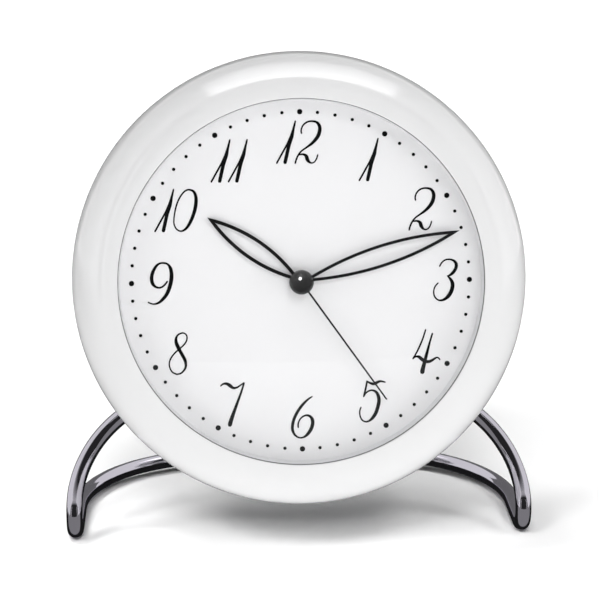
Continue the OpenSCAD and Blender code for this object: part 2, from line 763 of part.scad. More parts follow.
module rod_clamp_screws() color([0.6, 0.6, 0.62]) in_case() both_sides() {
  screw_len = clamp_len - rod_r - pass_gap;
  translate(on_ring(clamp_ring_r, -leg_angle)) difference() {
    post(clamp_screw_r, -leg_setback - rod_r - screw_len, -leg_setback - rod_r);
    translate([0, 0, -leg_setback - rod_r - screw_len - cut])
      cylinder(r = clamp_screw_r / 2, h = cut + clamp_screw_r, $fn = 6);
  }
}

module rear_rubber_foot() color([0.15, 0.15, 0.15]) {
  sleeve_r = rod_r + foot_wall;
  difference() {
    translate([-foot_len / 2, crossbar_start[1], 0]) {
      translate([0, 0, crossbar_start[2]]) rotate([0, quarter_turn, 0])
        cylinder(r = sleeve_r, h = foot_len);
      translate([0, -sleeve_r, 0]) cube([foot_len, 2 * sleeve_r, crossbar_start[2]]);
    }
    translate([-foot_len / 2 - cut, crossbar_start[1], crossbar_start[2]])
      rotate([0, quarter_turn, 0]) cylinder(r = rod_r, h = foot_len + 2 * cut);
    translate([-foot_len, crossbar_start[1] - foot_len, -sleeve_r])
      cube([2 * foot_len, 2 * foot_len, sleeve_r]);
  }
}

// Movement layers: low and high faces of each wheel, counted from the front wall of the housing

wheel_t = 0.7;
thin_wheel_t = 0.6;
layer_gap = 0.4;
hour_wheel_high = front_in - 2 * lay_gap;
hour_wheel_low = hour_wheel_high - wheel_t;
cannon_high = hour_wheel_low - layer_gap;
cannon_t = 0.8;
cannon_low = cannon_high - cannon_t;
centre_high = cannon_low - layer_gap + lay_gap;
centre_low = centre_high - thin_wheel_t;
middle_high = centre_low - layer_gap;
middle_plate_t = 1;
middle_low = middle_high - middle_plate_t;
third_high = middle_low - layer_gap;
third_low = third_high - thin_wheel_t;
second_high = third_low - layer_gap;
second_low = second_high - thin_wheel_t;
inter_high = second_low - layer_gap;
inter_low = inter_high - thin_wheel_t;
magnet_high = inter_low - 2 * lay_gap;
magnet_t = 1.7;
stator_high = magnet_high - wheel_t;
stator_t = 0.6;
stator_low = stator_high - stator_t;
bridge_high = magnet_high - magnet_t - 2 * layer_gap;
bridge_t = 1;
bridge_low = bridge_high - bridge_t;
split = (middle_low + bridge_high) / 2 + 2 * layer_gap;

// Teeth and gear places. Each wheel's phase puts its teeth in the gaps of the one it meets.

rotor_teeth = 8;
inter_teeth = 48;
inter_pinion_teeth = 8;
second_teeth = 40;
second_pinion_teeth = 8;
third_teeth = 64;
third_pinion_teeth = 8;
centre_teeth = 60;
cannon_teeth = 12;
motion_teeth = 36;
motion_pinion_teeth = 10;
hour_teeth = 40;
knob_teeth = 12;

rotor_module = 0.28;
second_module = 0.36;
third_module = 0.3;
centre_module = third_module * (second_pinion_teeth + third_teeth) / (third_pinion_teeth + centre_teeth);
motion_module = 0.475;
hour_module = motion_module * (cannon_teeth + motion_teeth) / (motion_pinion_teeth + hour_teeth);

function mesh_gap(m, a, b) = m * (a + b) / 2;
function toward(p, a, d) = p + d * [cos(a), sin(a)];

inter_at = 60;
rotor_at = 20;
third_at = 150;
motion_at = 10;
knob_at = -20;

hub = [0, 0];
inter_p = toward(hub, inter_at, mesh_gap(second_module, inter_pinion_teeth, second_teeth));
rotor_p = toward(inter_p, rotor_at, mesh_gap(rotor_module, rotor_teeth, inter_teeth));
third_p = toward(hub, third_at, mesh_gap(third_module, second_pinion_teeth, third_teeth));
motion_p = toward(hub, motion_at, mesh_gap(motion_module, cannon_teeth, motion_teeth));
knob_p = toward(motion_p, knob_at, mesh_gap(motion_module, knob_teeth, motion_teeth));

// Phase of the gear met at angle `at` by a gear of `za` teeth and phase `pa`
function met_phase(pa, za, zb, at) = at + half_turn - half_turn / zb + (at - pa) * za / zb;

second_phase = 0;
inter_pinion_phase = met_phase(second_phase, second_teeth, inter_pinion_teeth, inter_at);
inter_phase = 0;
rotor_phase = met_phase(inter_phase, inter_teeth, rotor_teeth, rotor_at);
second_pinion_phase = 0;
third_phase = met_phase(second_pinion_phase, second_pinion_teeth, third_teeth, third_at);
centre_phase = 0;
third_pinion_phase = met_phase(centre_phase, centre_teeth, third_pinion_teeth, third_at);
cannon_phase = 0;
motion_phase = met_phase(cannon_phase, cannon_teeth, motion_teeth, motion_at);
hour_phase = 0;
motion_pinion_phase = met_phase(hour_phase, hour_teeth, motion_pinion_teeth, motion_at);
knob_phase = met_phase(motion_phase, motion_teeth, knob_teeth, knob_at);

// Tooth form, in shares of the module and of the pitch angle
addendum_share = 0.8;
dedendum_share = 1.1;
root_half_share = 0.26;
tip_half_share = 0.1;

function gear_points(z, m, phase) = [
  for (i = [0:z - 1], c = [[-1, -1], [1, -1], [1, 1], [-1, 1]])
    let (
      r = m * (z / 2 + (c[0] > 0 ? addendum_share : -dedendum_share)),
      half_share = c[0] > 0 ? tip_half_share : root_half_share
    )
    on_ring(r, phase + (i + c[1] * half_share) * full_turn / z)
];

function tip_r(z, m) = m * (z / 2 + addendum_share);

module gear(z, m, phase, low, high) {
  translate([0, 0, low]) linear_extrude(high - low) polygon(gear_points(z, m, phase));
}

// A wheel with round lightening holes between its hub and its rim
module light_gear(z, m, phase, low, high, hub_r, holes) {
  rim_r = m * (z / 2 - dedendum_share) - wheel_rim;
  mid_r = (rim_r + hub_r) / 2;
  hole_r = min((rim_r - hub_r) / 2, mid_r * sin(half_turn / holes) - wheel_spoke_w / 2);
  translate([0, 0, low]) linear_extrude(high - low) difference() {
    polygon(gear_points(z, m, phase));
    for (i = [0:holes - 1]) translate(on_ring(mid_r, (i + 0.5) * full_turn / holes)) circle(r = hole_r);
  }
}

arbor_r = 0.45;
wheel_rim = 0.9;
wheel_spoke_w = 0.8;
hub_rim = 0.2;        // ring left on a wheel round the pinion that stands on it
wheel_holes = 5;
pivot_low = bridge_low;
pivot_high = mov_front - 2 * layer_gap;
brass = [0.8, 0.65, 0.3];
gear_white = [0.9, 0.9, 0.85];

module rotor_pinion() color(gear_white) in_case() translate(rotor_p) {
  gear(rotor_teeth, rotor_module, rotor_phase, inter_low - lay_gap, inter_high + lay_gap);
  post(arbor_r, pivot_low, middle_low + lay_gap * 3);
}

module rotor_magnet() color([0.25, 0.25, 0.27]) in_case() translate(rotor_p)
  ring(arbor_r, magnet_r, magnet_high - magnet_t, magnet_high);

magnet_r = 3;

module intermediate_wheel() color(gear_white) in_case() translate(inter_p) {
  light_gear(inter_teeth, rotor_module, inter_phase, inter_low, inter_high,
    tip_r(inter_pinion_teeth, second_module) + hub_rim, wheel_holes);
  gear(inter_pinion_teeth, second_module, inter_pinion_phase, inter_high, second_high + lay_gap);
  post(arbor_r, pivot_low, middle_low + lay_gap * 3);
}

module second_wheel() color(gear_white) in_case() {
  light_gear(second_teeth, second_module, second_phase, second_low, second_high,
    tip_r(second_pinion_teeth, third_module) + hub_rim, wheel_holes);
  gear(second_pinion_teeth, third_module, second_pinion_phase, second_high, third_high + lay_gap);
  post(second_arbor_r, pivot_low, ball_low + ball_r / 2);
}

module third_wheel() color(gear_white) in_case() translate(third_p) {
  light_gear(third_teeth, third_module, third_phase, third_low, third_high,
    tip_r(third_pinion_teeth, centre_module) + hub_rim, wheel_holes);
  gear(third_pinion_teeth, centre_module, third_pinion_phase, centre_low - lay_gap, centre_high + lay_gap);
  post(arbor_r, pivot_low, pivot_high);
}

module centre_wheel() color(brass) in_case() difference() {
  light_gear(centre_teeth, centre_module, centre_phase, centre_low, centre_high, cannon_r + hub_wall,
    wheel_holes);
  post(cannon_r + run_gap, centre_low - cut, centre_high + cut);
}

module cannon_pinion() color(brass) in_case() difference() {
  union() {
    gear(cannon_teeth, motion_module, cannon_phase, cannon_low, cannon_high);
    post(cannon_r, middle_high + lay_gap, minute_hand_low + hand_t + lay_gap / 2);
  }
  post(cannon_in_r, middle_high - cut, second_hand_low + cut);
}

module motion_wheel() color(gear_white) in_case() translate(motion_p) {
  light_gear(motion_teeth, motion_module, motion_phase, cannon_low, cannon_high,
    tip_r(motion_pinion_teeth, hour_module) + hub_rim, wheel_holes);
  gear(motion_pinion_teeth, hour_module, motion_pinion_phase, cannon_high, hour_wheel_high + lay_gap / 2);
  post(arbor_r, middle_low + lay_gap, pivot_high);
}

module hour_wheel() color(gear_white) in_case() difference() {
  union() {
    light_gear(hour_teeth, hour_module, hour_phase, hour_wheel_low, hour_wheel_high, hour_pipe_r + hub_wall,
      wheel_holes);
    post(hour_pipe_r, hour_wheel_low, hour_hand_low + hand_t + lay_gap / 2);
  }
  post(hour_pipe_in_r, hour_wheel_low - cut, minute_hand_low);
}

knob_shaft_r = 1;
knob_stand_off = 0.4;
knob_grips = 24;
knob_grip_share = 0.8;

module setting_knob() color([0.2, 0.2, 0.22]) in_case() translate(knob_p) {
  knob_high = mov_back - knob_stand_off;
  grip_r = knob_d / 2 * sin(half_turn / knob_grips) * knob_grip_share;
  gear(knob_teeth, motion_module, knob_phase, cannon_low, cannon_high);
  post(knob_shaft_r, knob_high, cannon_low);
  translate([0, 0, knob_high - knob_h]) linear_extrude(knob_h) difference() {
    circle(r = knob_d / 2);
    at_ring(knob_d / 2 + grip_r / 2, [for (i = [0:knob_grips - 1]) i * full_turn / knob_grips])
      circle(r = grip_r);
  }
}

// Movement housing and plates

mov_half = mov_size / 2;
mov_in = mov_half - mov_wall;
pillar_r = 2.2;
pillar_x = mov_in - pillar_r - seat_gap;
bay_gap = 0.35;
bay_w = cell_d + 2 * bay_gap;
bay_low_y = -mov_in;
bay_high_y = bay_low_y + bay_w;
divider_y = bay_high_y + mov_wall;
cell_y = (bay_low_y + bay_high_y) / 2;
pillar_low_y = divider_y + pillar_r + seat_gap;
pillars = [for (x = [-pillar_x, pillar_x], y = [pillar_low_y, pillar_x]) [x, y]];
ear_len = 6;
ear_half_w = 4;
ear_t = 2;
ear_screw_x = mov_half + ear_len / 2;
ear_screws = [[-ear_screw_x, 0], [ear_screw_x, 0]];

module at_points(points) {
  for (p = points) translate(p) children();
}

module mov_outline() {
  rounded_square(mov_size, mov_size, mov_corner_r);
}

module mov_inner() {
  difference() {
    rounded_square(2 * mov_in, 2 * mov_in, mov_corner_r - mov_wall);
    translate([-mov_half, bay_high_y]) square([mov_size, mov_wall]);
  }
}

module movement_front() color([0.12, 0.12, 0.13]) in_case() {
  difference() {
    union() {
      translate([0, 0, split]) linear_extrude(mov_front - split) mov_outline();
      for (x = [-1, 1]) translate([x * (mov_half + ear_len / 2), 0, mov_front - ear_t / 2])
        cube([ear_len + mov_wall, 2 * ear_half_w, ear_t], center = true);
    }
    difference() {
      translate([0, 0, split - cut]) linear_extrude(front_in - split + cut) mov_inner();
      at_points(pillars) post(pillar_r, middle_high, mov_front);
    }
    at_points(pillars) post(mov_screw_r, middle_high - cut, front_in);
    post(hour_pipe_r + run_gap, split, mov_front + cut);
    at_points([third_p, motion_p]) post(arbor_r + run_gap, split, mov_front + cut);
    at_points(ear_screws) post(mount_screw_r + run_gap, split, mov_front + cut);
  }
}

board_low_x = -21.6;
board_high_x = -6.2;
board_low_y = 17;
board_high_y = 26.3;
board_high = stator_high;
board_t = 0.8;
board_low = board_high - board_t;
board_post_inset = 2.1;
board_posts = [
  [board_low_x + board_post_inset, board_low_y + board_post_inset],
  [board_high_x - board_post_inset, board_high_y - board_post_inset]
];
stator_low_x = -1;
stator_high_x = 22;
stator_arm_w = 4;
stator_top_y = 24;
stator_arm_y = 9;
stator_window_y = 14.5;
stator_rotor_w = 8.2;
stator_bottom_y = 6.2;
stator_post_y = 20;
stator_hole_r = magnet_r + layer_gap;
small_post_r = 1.2;

module movement_back() color([0.12, 0.12, 0.13]) in_case() {
  difference() {
    union() {
      difference() {
        translate([0, 0, mov_back]) linear_extrude(split - mov_back) mov_outline();
        translate([0, 0, back_in]) linear_extrude(split - back_in + cut) mov_inner();
        slab(-mov_in, mov_in, bay_low_y, bay_high_y, mov_back - cut, split + cut);
      }
      at_points(pillars) post(pillar_r, back_in - sink, middle_low);
      at_points(board_posts) post(small_post_r, back_in - sink, board_low);
      for (x = [stator_low_x, stator_high_x - stator_arm_w]) translate([x + stator_arm_w / 2, stator_post_y])
        post(small_post_r, back_in - sink, stator_low);
    }
    at_points(pillars) post(mov_screw_r + run_gap, mov_back - cut, middle_low + cut);
    at_points(pillars) post(mov_head_r + run_gap, mov_back - cut, mov_back + mov_head_h);
    translate(knob_p) post(knob_shaft_r + run_gap, mov_back - cut, back_in + cut);
  }
}

// Places on the bridge, in shares of half the housing
bridge_post_shares = [[0.25, -0.25], [-0.14, 0.59], [0.62, 0.14]];
bridge_outline_shares = [
  [-0.45, 0.3], [-0.45, 0.09], [0.18, -0.33], [0.34, -0.33], [0.73, 0.07], [0.73, 0.21], [0.52, 0.48],
  [-0.05, 0.68], [-0.23, 0.68]
];
bridge_posts = bridge_post_shares * mov_half;
bridge_post_r = 1.4;
plate_gap = 0.2;

module middle_plate() color([0.75, 0.75, 0.72]) in_case() {
  half = mov_in - plate_gap;
  difference() {
    union() {
      slab(-half, half, divider_y + plate_gap, half - mov_corner_r, middle_low, middle_high);
      slab(mov_corner_r - half, half - mov_corner_r, divider_y + plate_gap, half, middle_low, middle_high);
      at_points(bridge_posts) post(bridge_post_r, bridge_high, middle_high);
    }
    at_points(bridge_posts) post(small_screw_r, bridge_high - cut, bridge_high + small_screw_grip);
    at_points([hub, third_p, motion_p, inter_p, rotor_p])
      post(arbor_r + run_gap, middle_low - cut, middle_high + cut);
    translate(knob_p) post(knob_shaft_r + run_gap, middle_low - cut, middle_high + cut);
    at_points(pillars) post(mov_screw_r + run_gap, middle_low - cut, middle_high + cut);
  }
}

module train_bridge() color([0.75, 0.75, 0.72]) in_case() difference() {
  translate([0, 0, bridge_low]) linear_extrude(bridge_t) polygon(bridge_outline_shares * mov_half);
  at_points([hub, third_p, inter_p, rotor_p]) post(arbor_r + run_gap, bridge_low - cut, bridge_high + cut);
  at_points(bridge_posts) post(small_screw_r + run_gap, bridge_low - cut, bridge_high + cut);
}

module bridge_screws() color([0.7, 0.7, 0.72]) in_case()
  at_points(bridge_posts) translate([0, 0, bridge_low - small_head_h])
    screw(small_screw_r, small_head_r, small_head_h, bridge_t + small_screw_grip);

module movement_screws() color([0.7, 0.7, 0.72]) in_case()
  at_points(pillars) translate([0, 0, mov_back])
    screw(mov_screw_r, mov_head_r, mov_head_h, front_in - mov_back - mov_head_h - middle_plate_t);

module movement_mount_screws() color([0.7, 0.7, 0.72]) in_case()
  at_points(ear_screws) translate([0, 0, mov_front - ear_t - case_head_h])
    screw(mount_screw_r, mount_head_r, case_head_h, ear_t + chassis_t);

// Motor

module stator() color([0.55, 0.55, 0.58]) in_case() {
  difference() {
    union() {
      slab(stator_low_x, stator_high_x, stator_arm_y, stator_window_y, stator_low, stator_high);
      for (x = [stator_low_x, stator_high_x - stator_arm_w])
        slab(x, x + stator_arm_w, stator_arm_y, stator_top_y, stator_low, stator_high);
      slab(rotor_p[0] - stator_rotor_w / 2, rotor_p[0] + stator_rotor_w / 2,
        stator_bottom_y, stator_window_y, stator_low, stator_high);
    }
    translate(rotor_p) post(stator_hole_r, stator_low - cut, stator_high + cut);
  }
}

coil_y = 22;
core_w = 1.4;
core_t = 0.9;
core_end = 1;
bobbin_r = 1.5;
bobbin_flange_r = 3.4;
bobbin_flange_t = 0.8;
winding_r = 3.1;
coil_axis = stator_high + core_t / 2;
coil_low_x = stator_low_x + stator_arm_w + layer_gap;
coil_high_x = stator_high_x - stator_arm_w - layer_gap;

// Cylinder along X at the coil's axis
module coil_drum(r, x0, x1) {
  translate([x0, coil_y, coil_axis]) rotate([0, quarter_turn, 0]) cylinder(r = r, h = x1 - x0);
}

module coil_core() color([0.55, 0.55, 0.58]) in_case()
  slab(stator_low_x + core_end, stator_high_x - core_end, coil_y - core_w / 2, coil_y + core_w / 2,
    stator_high, stator_high + core_t);

module coil_bobbin() color([0.85, 0.85, 0.8]) in_case() difference() {
  union() {
    coil_drum(bobbin_r, coil_low_x, coil_high_x);
    coil_drum(bobbin_flange_r, coil_low_x, coil_low_x + bobbin_flange_t);
    coil_drum(bobbin_flange_r, coil_high_x - bobbin_flange_t, coil_high_x);
  }
  slab(coil_low_x - cut, coil_high_x + cut, coil_y - core_w / 2, coil_y + core_w / 2,
    stator_high, stator_high + core_t);
}

module coil_winding() color([0.72, 0.38, 0.18]) in_case() difference() {
  coil_drum(winding_r, coil_low_x + bobbin_flange_t, coil_high_x - bobbin_flange_t);
  coil_drum(bobbin_r, coil_low_x - cut, coil_high_x + cut);
}

// Electronics and battery

module circuit_board() color([0.1, 0.4, 0.2]) in_case()
  slab(board_low_x, board_high_x, board_low_y, board_high_y, board_low, board_high);

chip_w = 4.5;
chip_h = 1.2;
chip_x = -11;
chip_y = 21.5;

module timing_chip() color([0.05, 0.05, 0.05]) in_case()
  slab(chip_x - chip_w / 2, chip_x + chip_w / 2, chip_y - chip_w / 2, chip_y + chip_w / 2,
    board_high, board_high + chip_h);

crystal_r = 1;
crystal_len = 6;
crystal_x = -17.5;
crystal_y = 18.8;

module quartz_crystal() color([0.8, 0.8, 0.82]) in_case()
  translate([crystal_x, crystal_y, board_high + crystal_r])
    rotate([-quarter_turn, 0, 0]) cylinder(r = crystal_r, h = crystal_len);

cell_r = cell_d / 2;
cell_button_r = 2.6;
cell_button_len = 1;
contact_t = 0.4;
contact_half_w = 5;
cell_z = front_in - bay_gap / 2 - cell_r;
cell_high_x = mov_in - contact_t;
cell_low_x = cell_high_x - cell_len;

// Cylinder along X at the battery's axis
module cell_drum(r, x0, x1) {
  translate([x0, cell_y, cell_z]) rotate([0, quarter_turn, 0]) cylinder(r = r, h = x1 - x0);
}

module battery() color([0.2, 0.22, 0.25]) in_case() {
  cell_drum(cell_r, cell_low_x, cell_high_x - cell_button_len);
  cell_drum(cell_button_r, cell_low_x, cell_high_x);
}

module positive_contact() color([0.8, 0.75, 0.5]) in_case()
  slab(mov_in - contact_t, mov_in, cell_y - contact_half_w, cell_y + contact_half_w,
    cell_z - contact_half_w, cell_z + contact_half_w);

module negative_contact() color([0.8, 0.78, 0.7]) in_case() {
  loop_r = (cell_low_x + mov_in - contact_t) / 2;
  loop_x = -mov_in + contact_t / 2 + loop_r;
  slab(-mov_in, contact_t - mov_in, cell_y - contact_half_w, cell_y + contact_half_w,
    cell_z - contact_half_w, cell_z + contact_half_w);
  for (y = [-1, 1]) translate([loop_x, cell_y + y * contact_half_w / 2, cell_z]) rotate([quarter_turn, 0, 0])
    difference() {
      cylinder(r = loop_r, h = contact_half_w / 2, center = true);
      cylinder(r = loop_r - contact_t, h = contact_half_w, center = true);
    }
}

cover_rim_t = 1;
cover_plate_t = 1.2;
cover_lift = 0.05;
cover_grips = 3;
cover_grip_h = 0.6;
cover_grip_step = 2;
cover_plate_high = cell_z - cell_r - bay_gap;

module battery_cover() color([0.16, 0.16, 0.17]) in_case() {
  x = mov_half - seat_gap * 2;
  low_y = -x;
  high_y = divider_y;
  rim_high = mov_back - cover_lift;
  difference() {
    slab(-x, x, low_y, high_y, cover_plate_high - cover_plate_t, rim_high);
    slab(cover_rim_t - x, x - cover_rim_t, low_y + cover_rim_t, high_y - cover_rim_t, cover_plate_high,
      rim_high + cut);
  }
  for (i = [0:cover_grips - 1])
    slab(-x / 3, x / 3, cell_y + (i - 1) * cover_grip_step - cover_grip_h / 2,
      cell_y + (i - 1) * cover_grip_step + cover_grip_h / 2,
      cover_plate_high - cover_plate_t - cover_grip_h, cover_plate_high - cover_plate_t / 2);
}

case_shell();
front_lens();
lens_spacer_ring();
dial_plate();
dial_numerals();
hour_dots();
minute_dots();
hour_hand();
minute_hand();
second_hand();
centre_ball();
dial_chassis();
chassis_screws();
rear_cover();
rear_cover_screws();
stand_rod();
rod_clamp_screws();
rear_rubber_foot();
movement_front();
movement_back();
middle_plate();
train_bridge();
bridge_screws();
movement_screws();
movement_mount_screws();
rotor_pinion();
rotor_magnet();
stator();
coil_core();
coil_bobbin();
coil_winding();
intermediate_wheel();
second_wheel();
third_wheel();
centre_wheel();
cannon_pinion();
motion_wheel();
hour_wheel();
setting_knob();
circuit_board();
timing_chip();
quartz_crystal();
battery();
positive_contact();
negative_contact();
battery_cover();
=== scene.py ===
"""Table clock: a round glossy case on a bent bright rod, with a numbered dial and leaf hands.

Each operator makes one piece, or one group of like pieces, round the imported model.
"""

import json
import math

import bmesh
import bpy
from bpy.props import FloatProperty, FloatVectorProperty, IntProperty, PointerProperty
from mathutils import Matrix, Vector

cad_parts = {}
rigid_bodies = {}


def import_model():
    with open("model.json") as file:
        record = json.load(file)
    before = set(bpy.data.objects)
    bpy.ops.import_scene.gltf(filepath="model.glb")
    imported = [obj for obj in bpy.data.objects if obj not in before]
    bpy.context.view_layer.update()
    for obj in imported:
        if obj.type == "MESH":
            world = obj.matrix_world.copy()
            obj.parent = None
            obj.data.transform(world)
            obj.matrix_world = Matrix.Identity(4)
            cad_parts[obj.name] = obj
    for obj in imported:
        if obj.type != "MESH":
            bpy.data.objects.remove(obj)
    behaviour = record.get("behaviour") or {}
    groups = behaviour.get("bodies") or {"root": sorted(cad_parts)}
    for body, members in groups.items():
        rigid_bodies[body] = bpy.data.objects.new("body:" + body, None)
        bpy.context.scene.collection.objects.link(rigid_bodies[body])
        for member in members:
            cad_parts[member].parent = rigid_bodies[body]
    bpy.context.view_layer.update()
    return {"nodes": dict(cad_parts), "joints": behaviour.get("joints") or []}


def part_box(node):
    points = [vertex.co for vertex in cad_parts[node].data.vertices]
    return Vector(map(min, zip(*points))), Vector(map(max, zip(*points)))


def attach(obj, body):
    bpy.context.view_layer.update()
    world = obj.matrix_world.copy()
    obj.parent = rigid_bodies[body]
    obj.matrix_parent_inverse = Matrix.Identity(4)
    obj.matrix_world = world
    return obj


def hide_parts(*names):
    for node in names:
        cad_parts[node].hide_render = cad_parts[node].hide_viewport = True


bl_info = {
    "name": "Table clock",
    "version": (1, 0, 0),
    "blender": (4, 5, 0),
    "location": "View3D > Sidebar > Clock",
    "description": "Builds the visible pieces, finishes and studio of a round table clock",
    "category": "Object",
}

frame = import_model()

# Places taken from the frame

SPIN = next(j for j in frame["joints"] if j["name"] == "second_spin")
OUT = -Vector(SPIN["axis"]).normalized()
RIGHT = Vector((1.0, 0.0, 0.0))
UP = OUT.cross(RIGHT)
CASE = Matrix((RIGHT, UP, OUT)).transposed().to_4x4()
CASE.translation = Vector(SPIN["pos_m"])
INTO_CASE = CASE.inverted()

# Fits in metres, shares of a radius, and counts of steps, which no user needs to change

DIAL_HOLE = 0.0019
SPACER_GAP = 0.0001
SPACER_DRAFT = 0.0005
HOUR_BORE, MINUTE_BORE, SECOND_BORE = 0.0016, 0.0011, 0.00045
SOCKET_FIT, BALL_FOOT = 1.03, 0.94
NOSE_STEPS, SKIN_STEPS, LENS_STEPS = 60, 24, 40
LEAF_STEPS, HUB_STEPS = 96, 72
BALL_RISE_STEPS, BALL_STEPS = 40, 96
LEG_STEPS, FOOT_STEPS, CORNER_STEPS = 40, 28, 60
HAND_SHARP = 25.0
ON_AXIS = 1e-9


def case_box(node):
    """Lowest and highest corner of a CAD node in the case's own frame."""
    points = [INTO_CASE @ v.co for v in frame["nodes"][node].data.vertices]
    low = Vector(tuple(min(p[i] for p in points) for i in range(3)))
    high = Vector(tuple(max(p[i] for p in points) for i in range(3)))
    return low, high


def half_width(node):
    low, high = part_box(node)
    return (high.x - low.x) / 2


# Sizes and colours that a user would change


def length(name, text, default):
    return FloatProperty(name=name, description=text, default=default, unit="LENGTH", subtype="DISTANCE")


def angle(name, text, degrees):
    return FloatProperty(name=name, description=text, default=math.radians(degrees), unit="ROTATION",
                         subtype="ANGLE")


def colour(name, text, default):
    return FloatVectorProperty(name=name, description=text, default=default, size=3, min=0.0, max=1.0,
                               subtype="COLOR")


class ClockCaseSizes(bpy.types.PropertyGroup):
    nose_radius: length("Nose radius", "Radius of the rounded front edge", 0.012)
    wall: length("Wall", "Wall of the moulded case", 0.0024)
    taper: angle("Taper", "Taper of the case side toward the back", 3.0)
    window_radius: length("Window radius", "Radius of the opening inside the front lip", 0.0436)
    lip: length("Lip", "Thickness of the front lip", 0.001)
    edge_round: length("Edge round", "Rounding of the moulded edges", 0.00018)
    back_chamfer: length("Back chamfer", "Chamfer of the rear edge", 0.0008)
    # The seal's dark colour paints the thin line of shade at the lens's edge
    seal: length("Lens seal", "Width of the thin dark seal round the lens", 0.00016)
    lens_rise: length("Lens rise", "Rise of the lens at its middle", 0.0026)
    lens_thickness: length("Lens thickness", "Thickness of the lens", 0.0012)
    steps: IntProperty(name="Steps", description="Facets round the case", default=288, min=48, max=720)


class ClockHandSizes(bpy.types.PropertyGroup):
    hour_length: length("Hour length", "Length of the hour hand from the centre", 0.0271)
    hour_width: length("Hour width", "Width of the hour hand", 0.0052)
    hour_line: length("Hour line", "Width of the hour hand's outline", 0.00083)
    hour_at: angle("Hour angle", "Angle of the hour hand, clockwise from twelve", 305.0)
    minute_length: length("Minute length", "Length of the minute hand from the centre", 0.0397)
    minute_width: length("Minute width", "Width of the minute hand", 0.00535)
    minute_line: length("Minute line", "Width of the minute hand's outline", 0.00072)
    minute_at: angle("Minute angle", "Angle of the minute hand, clockwise from twelve", 72.6)
    second_length: length("Second length", "Length of the second hand from the centre", 0.0349)
    second_width: length("Second width", "Width of the second hand at its root", 0.00046)
    second_tip: length("Second tip", "Width of the second hand at its tip", 0.00037)
    second_at: angle("Second angle", "Angle of the second hand, clockwise from twelve", 144.6)
    edge: length("Edge", "Soft edge of a stamped hand", 0.00005)
    hub: length("Hub", "Ring of metal round a hand's pipe", 0.0009)


class ClockStandSizes(bpy.types.PropertyGroup):
    rod_radius: length("Rod radius", "Radius of the bent rod", 0.002)
    plug: length("Plug", "Length of rod inside the case", 0.0086)
    leg_angle: angle("Leg angle", "Angle below level at which the rod leaves the case", 38.6)
    setback: length("Setback", "Distance of the rod behind the widest circle", 0.0169)
    leg_bend: length("Leg bend", "Bend radius of the leg", 0.0249)
    leg_lean: angle("Leg lean", "Lean of the leg's bend toward the front", 40.5)
    foot_bend: length("Foot bend", "Bend radius of the front foot", 0.00436)
    rail_rise: angle("Rail rise", "Rise of the side rails toward the back", 1.35)
    crossbar_back: length("Crossbar back", "Distance of the rear crossbar behind the case", 0.05145)
    corner: length("Corner", "Bend radius of the two rear corners", 0.0349)
    sides: IntProperty(name="Sides", description="Facets round the rod", default=40, min=12, max=96)


class ClockColours(bpy.types.PropertyGroup):
    case_white: colour("Case", "Glossy white of the case", (0.72, 0.72, 0.725))
    dial_white: colour("Dial", "Off-white of the dial", (0.82, 0.815, 0.822))
    print_black: colour("Print", "Ink of the numerals and dots", (0.003, 0.003, 0.003))
    hand_black: colour("Hands", "Lacquer of the hands", (0.004, 0.004, 0.0043))
    ball_black: colour("Ball", "Gloss black of the centre ball", (0.006, 0.006, 0.006))
    rod_metal: colour("Rod", "Bright metal of the stand", (0.56, 0.54, 0.60))
    floor_white: colour("Floor", "Pale studio floor", (0.94, 0.94, 0.94))


class ClockStageSizes(bpy.types.PropertyGroup):
    camera_place: FloatVectorProperty(name="Camera", description="Place of the camera",
                                      default=(-0.0233, -0.4999, 0.1912), subtype="XYZ", unit="LENGTH")
    camera_target: FloatVectorProperty(name="Target", description="Point that the camera looks at",
                                       default=(0.000074, -0.01769, 0.06122), subtype="XYZ", unit="LENGTH")
    focal: FloatProperty(name="Focal length", description="Focal length in millimetres for a 36 mm sensor",
                         default=123.37, min=20.0, max=300.0)
    ambient: FloatProperty(name="Ambient", description="Strength of the even light", default=0.01)
    sun: FloatProperty(name="Floor light", description="Strength of the light on the floor", default=4.25)
    key: FloatProperty(name="Key", description="Strength of the light from the front and above", default=0.86)
    left: FloatProperty(name="Left", description="Power of the left fill in watts", default=0.79)
    right: FloatProperty(name="Right", description="Power of the right fill in watts", default=0.94)
    front: FloatProperty(name="Front", description="Power of the front fill in watts", default=1.03)
    low: FloatProperty(name="Low", description="Power of the fill from below in watts", default=0.58)
    top: FloatProperty(name="Top", description="Power of the top fill in watts", default=1.12)
    behind: FloatProperty(name="Behind", description="Power of each lamp behind in watts", default=1.5)
    spark: FloatProperty(name="Spark", description="Power of the lamp that the ball reflects in watts",
                         default=19.0)
    card: FloatProperty(name="Card", description="Brightness of the softbox in the gloss", default=4.8)


GROUPS = (
    (ClockCaseSizes, "clock_case"),
    (ClockHandSizes, "clock_hands"),
    (ClockStandSizes, "clock_stand"),
    (ClockColours, "clock_colours"),
    (ClockStageSizes, "clock_stage"),
)


# Mesh helpers


def arc(centre, radius, start, end, steps):
    """Points (r, z) on an arc, with its ends, counted from the r axis."""
    turns = [start + (end - start) * i / steps for i in range(steps + 1)]
    return [(centre[0] + radius * math.cos(a), centre[1] + radius * math.sin(a)) for a in turns]


def rounded(points, radius, corners, steps=4):
    """A closed section with the named corners rounded by a small radius."""
    made = []
    for i, point in enumerate(points):
        if i not in corners:
            made.append(point)
            continue
        here = Vector(point)
        before = (Vector(points[i - 1]) - here).normalized()
        after = (Vector(points[(i + 1) % len(points)]) - here).normalized()
        start, end = here + before * radius, here + after * radius
        for k in range(steps + 1):
            t = k / steps
            p = start.lerp(here, t).lerp(here.lerp(end, t), t)
            made.append((p.x, p.y))
    return made


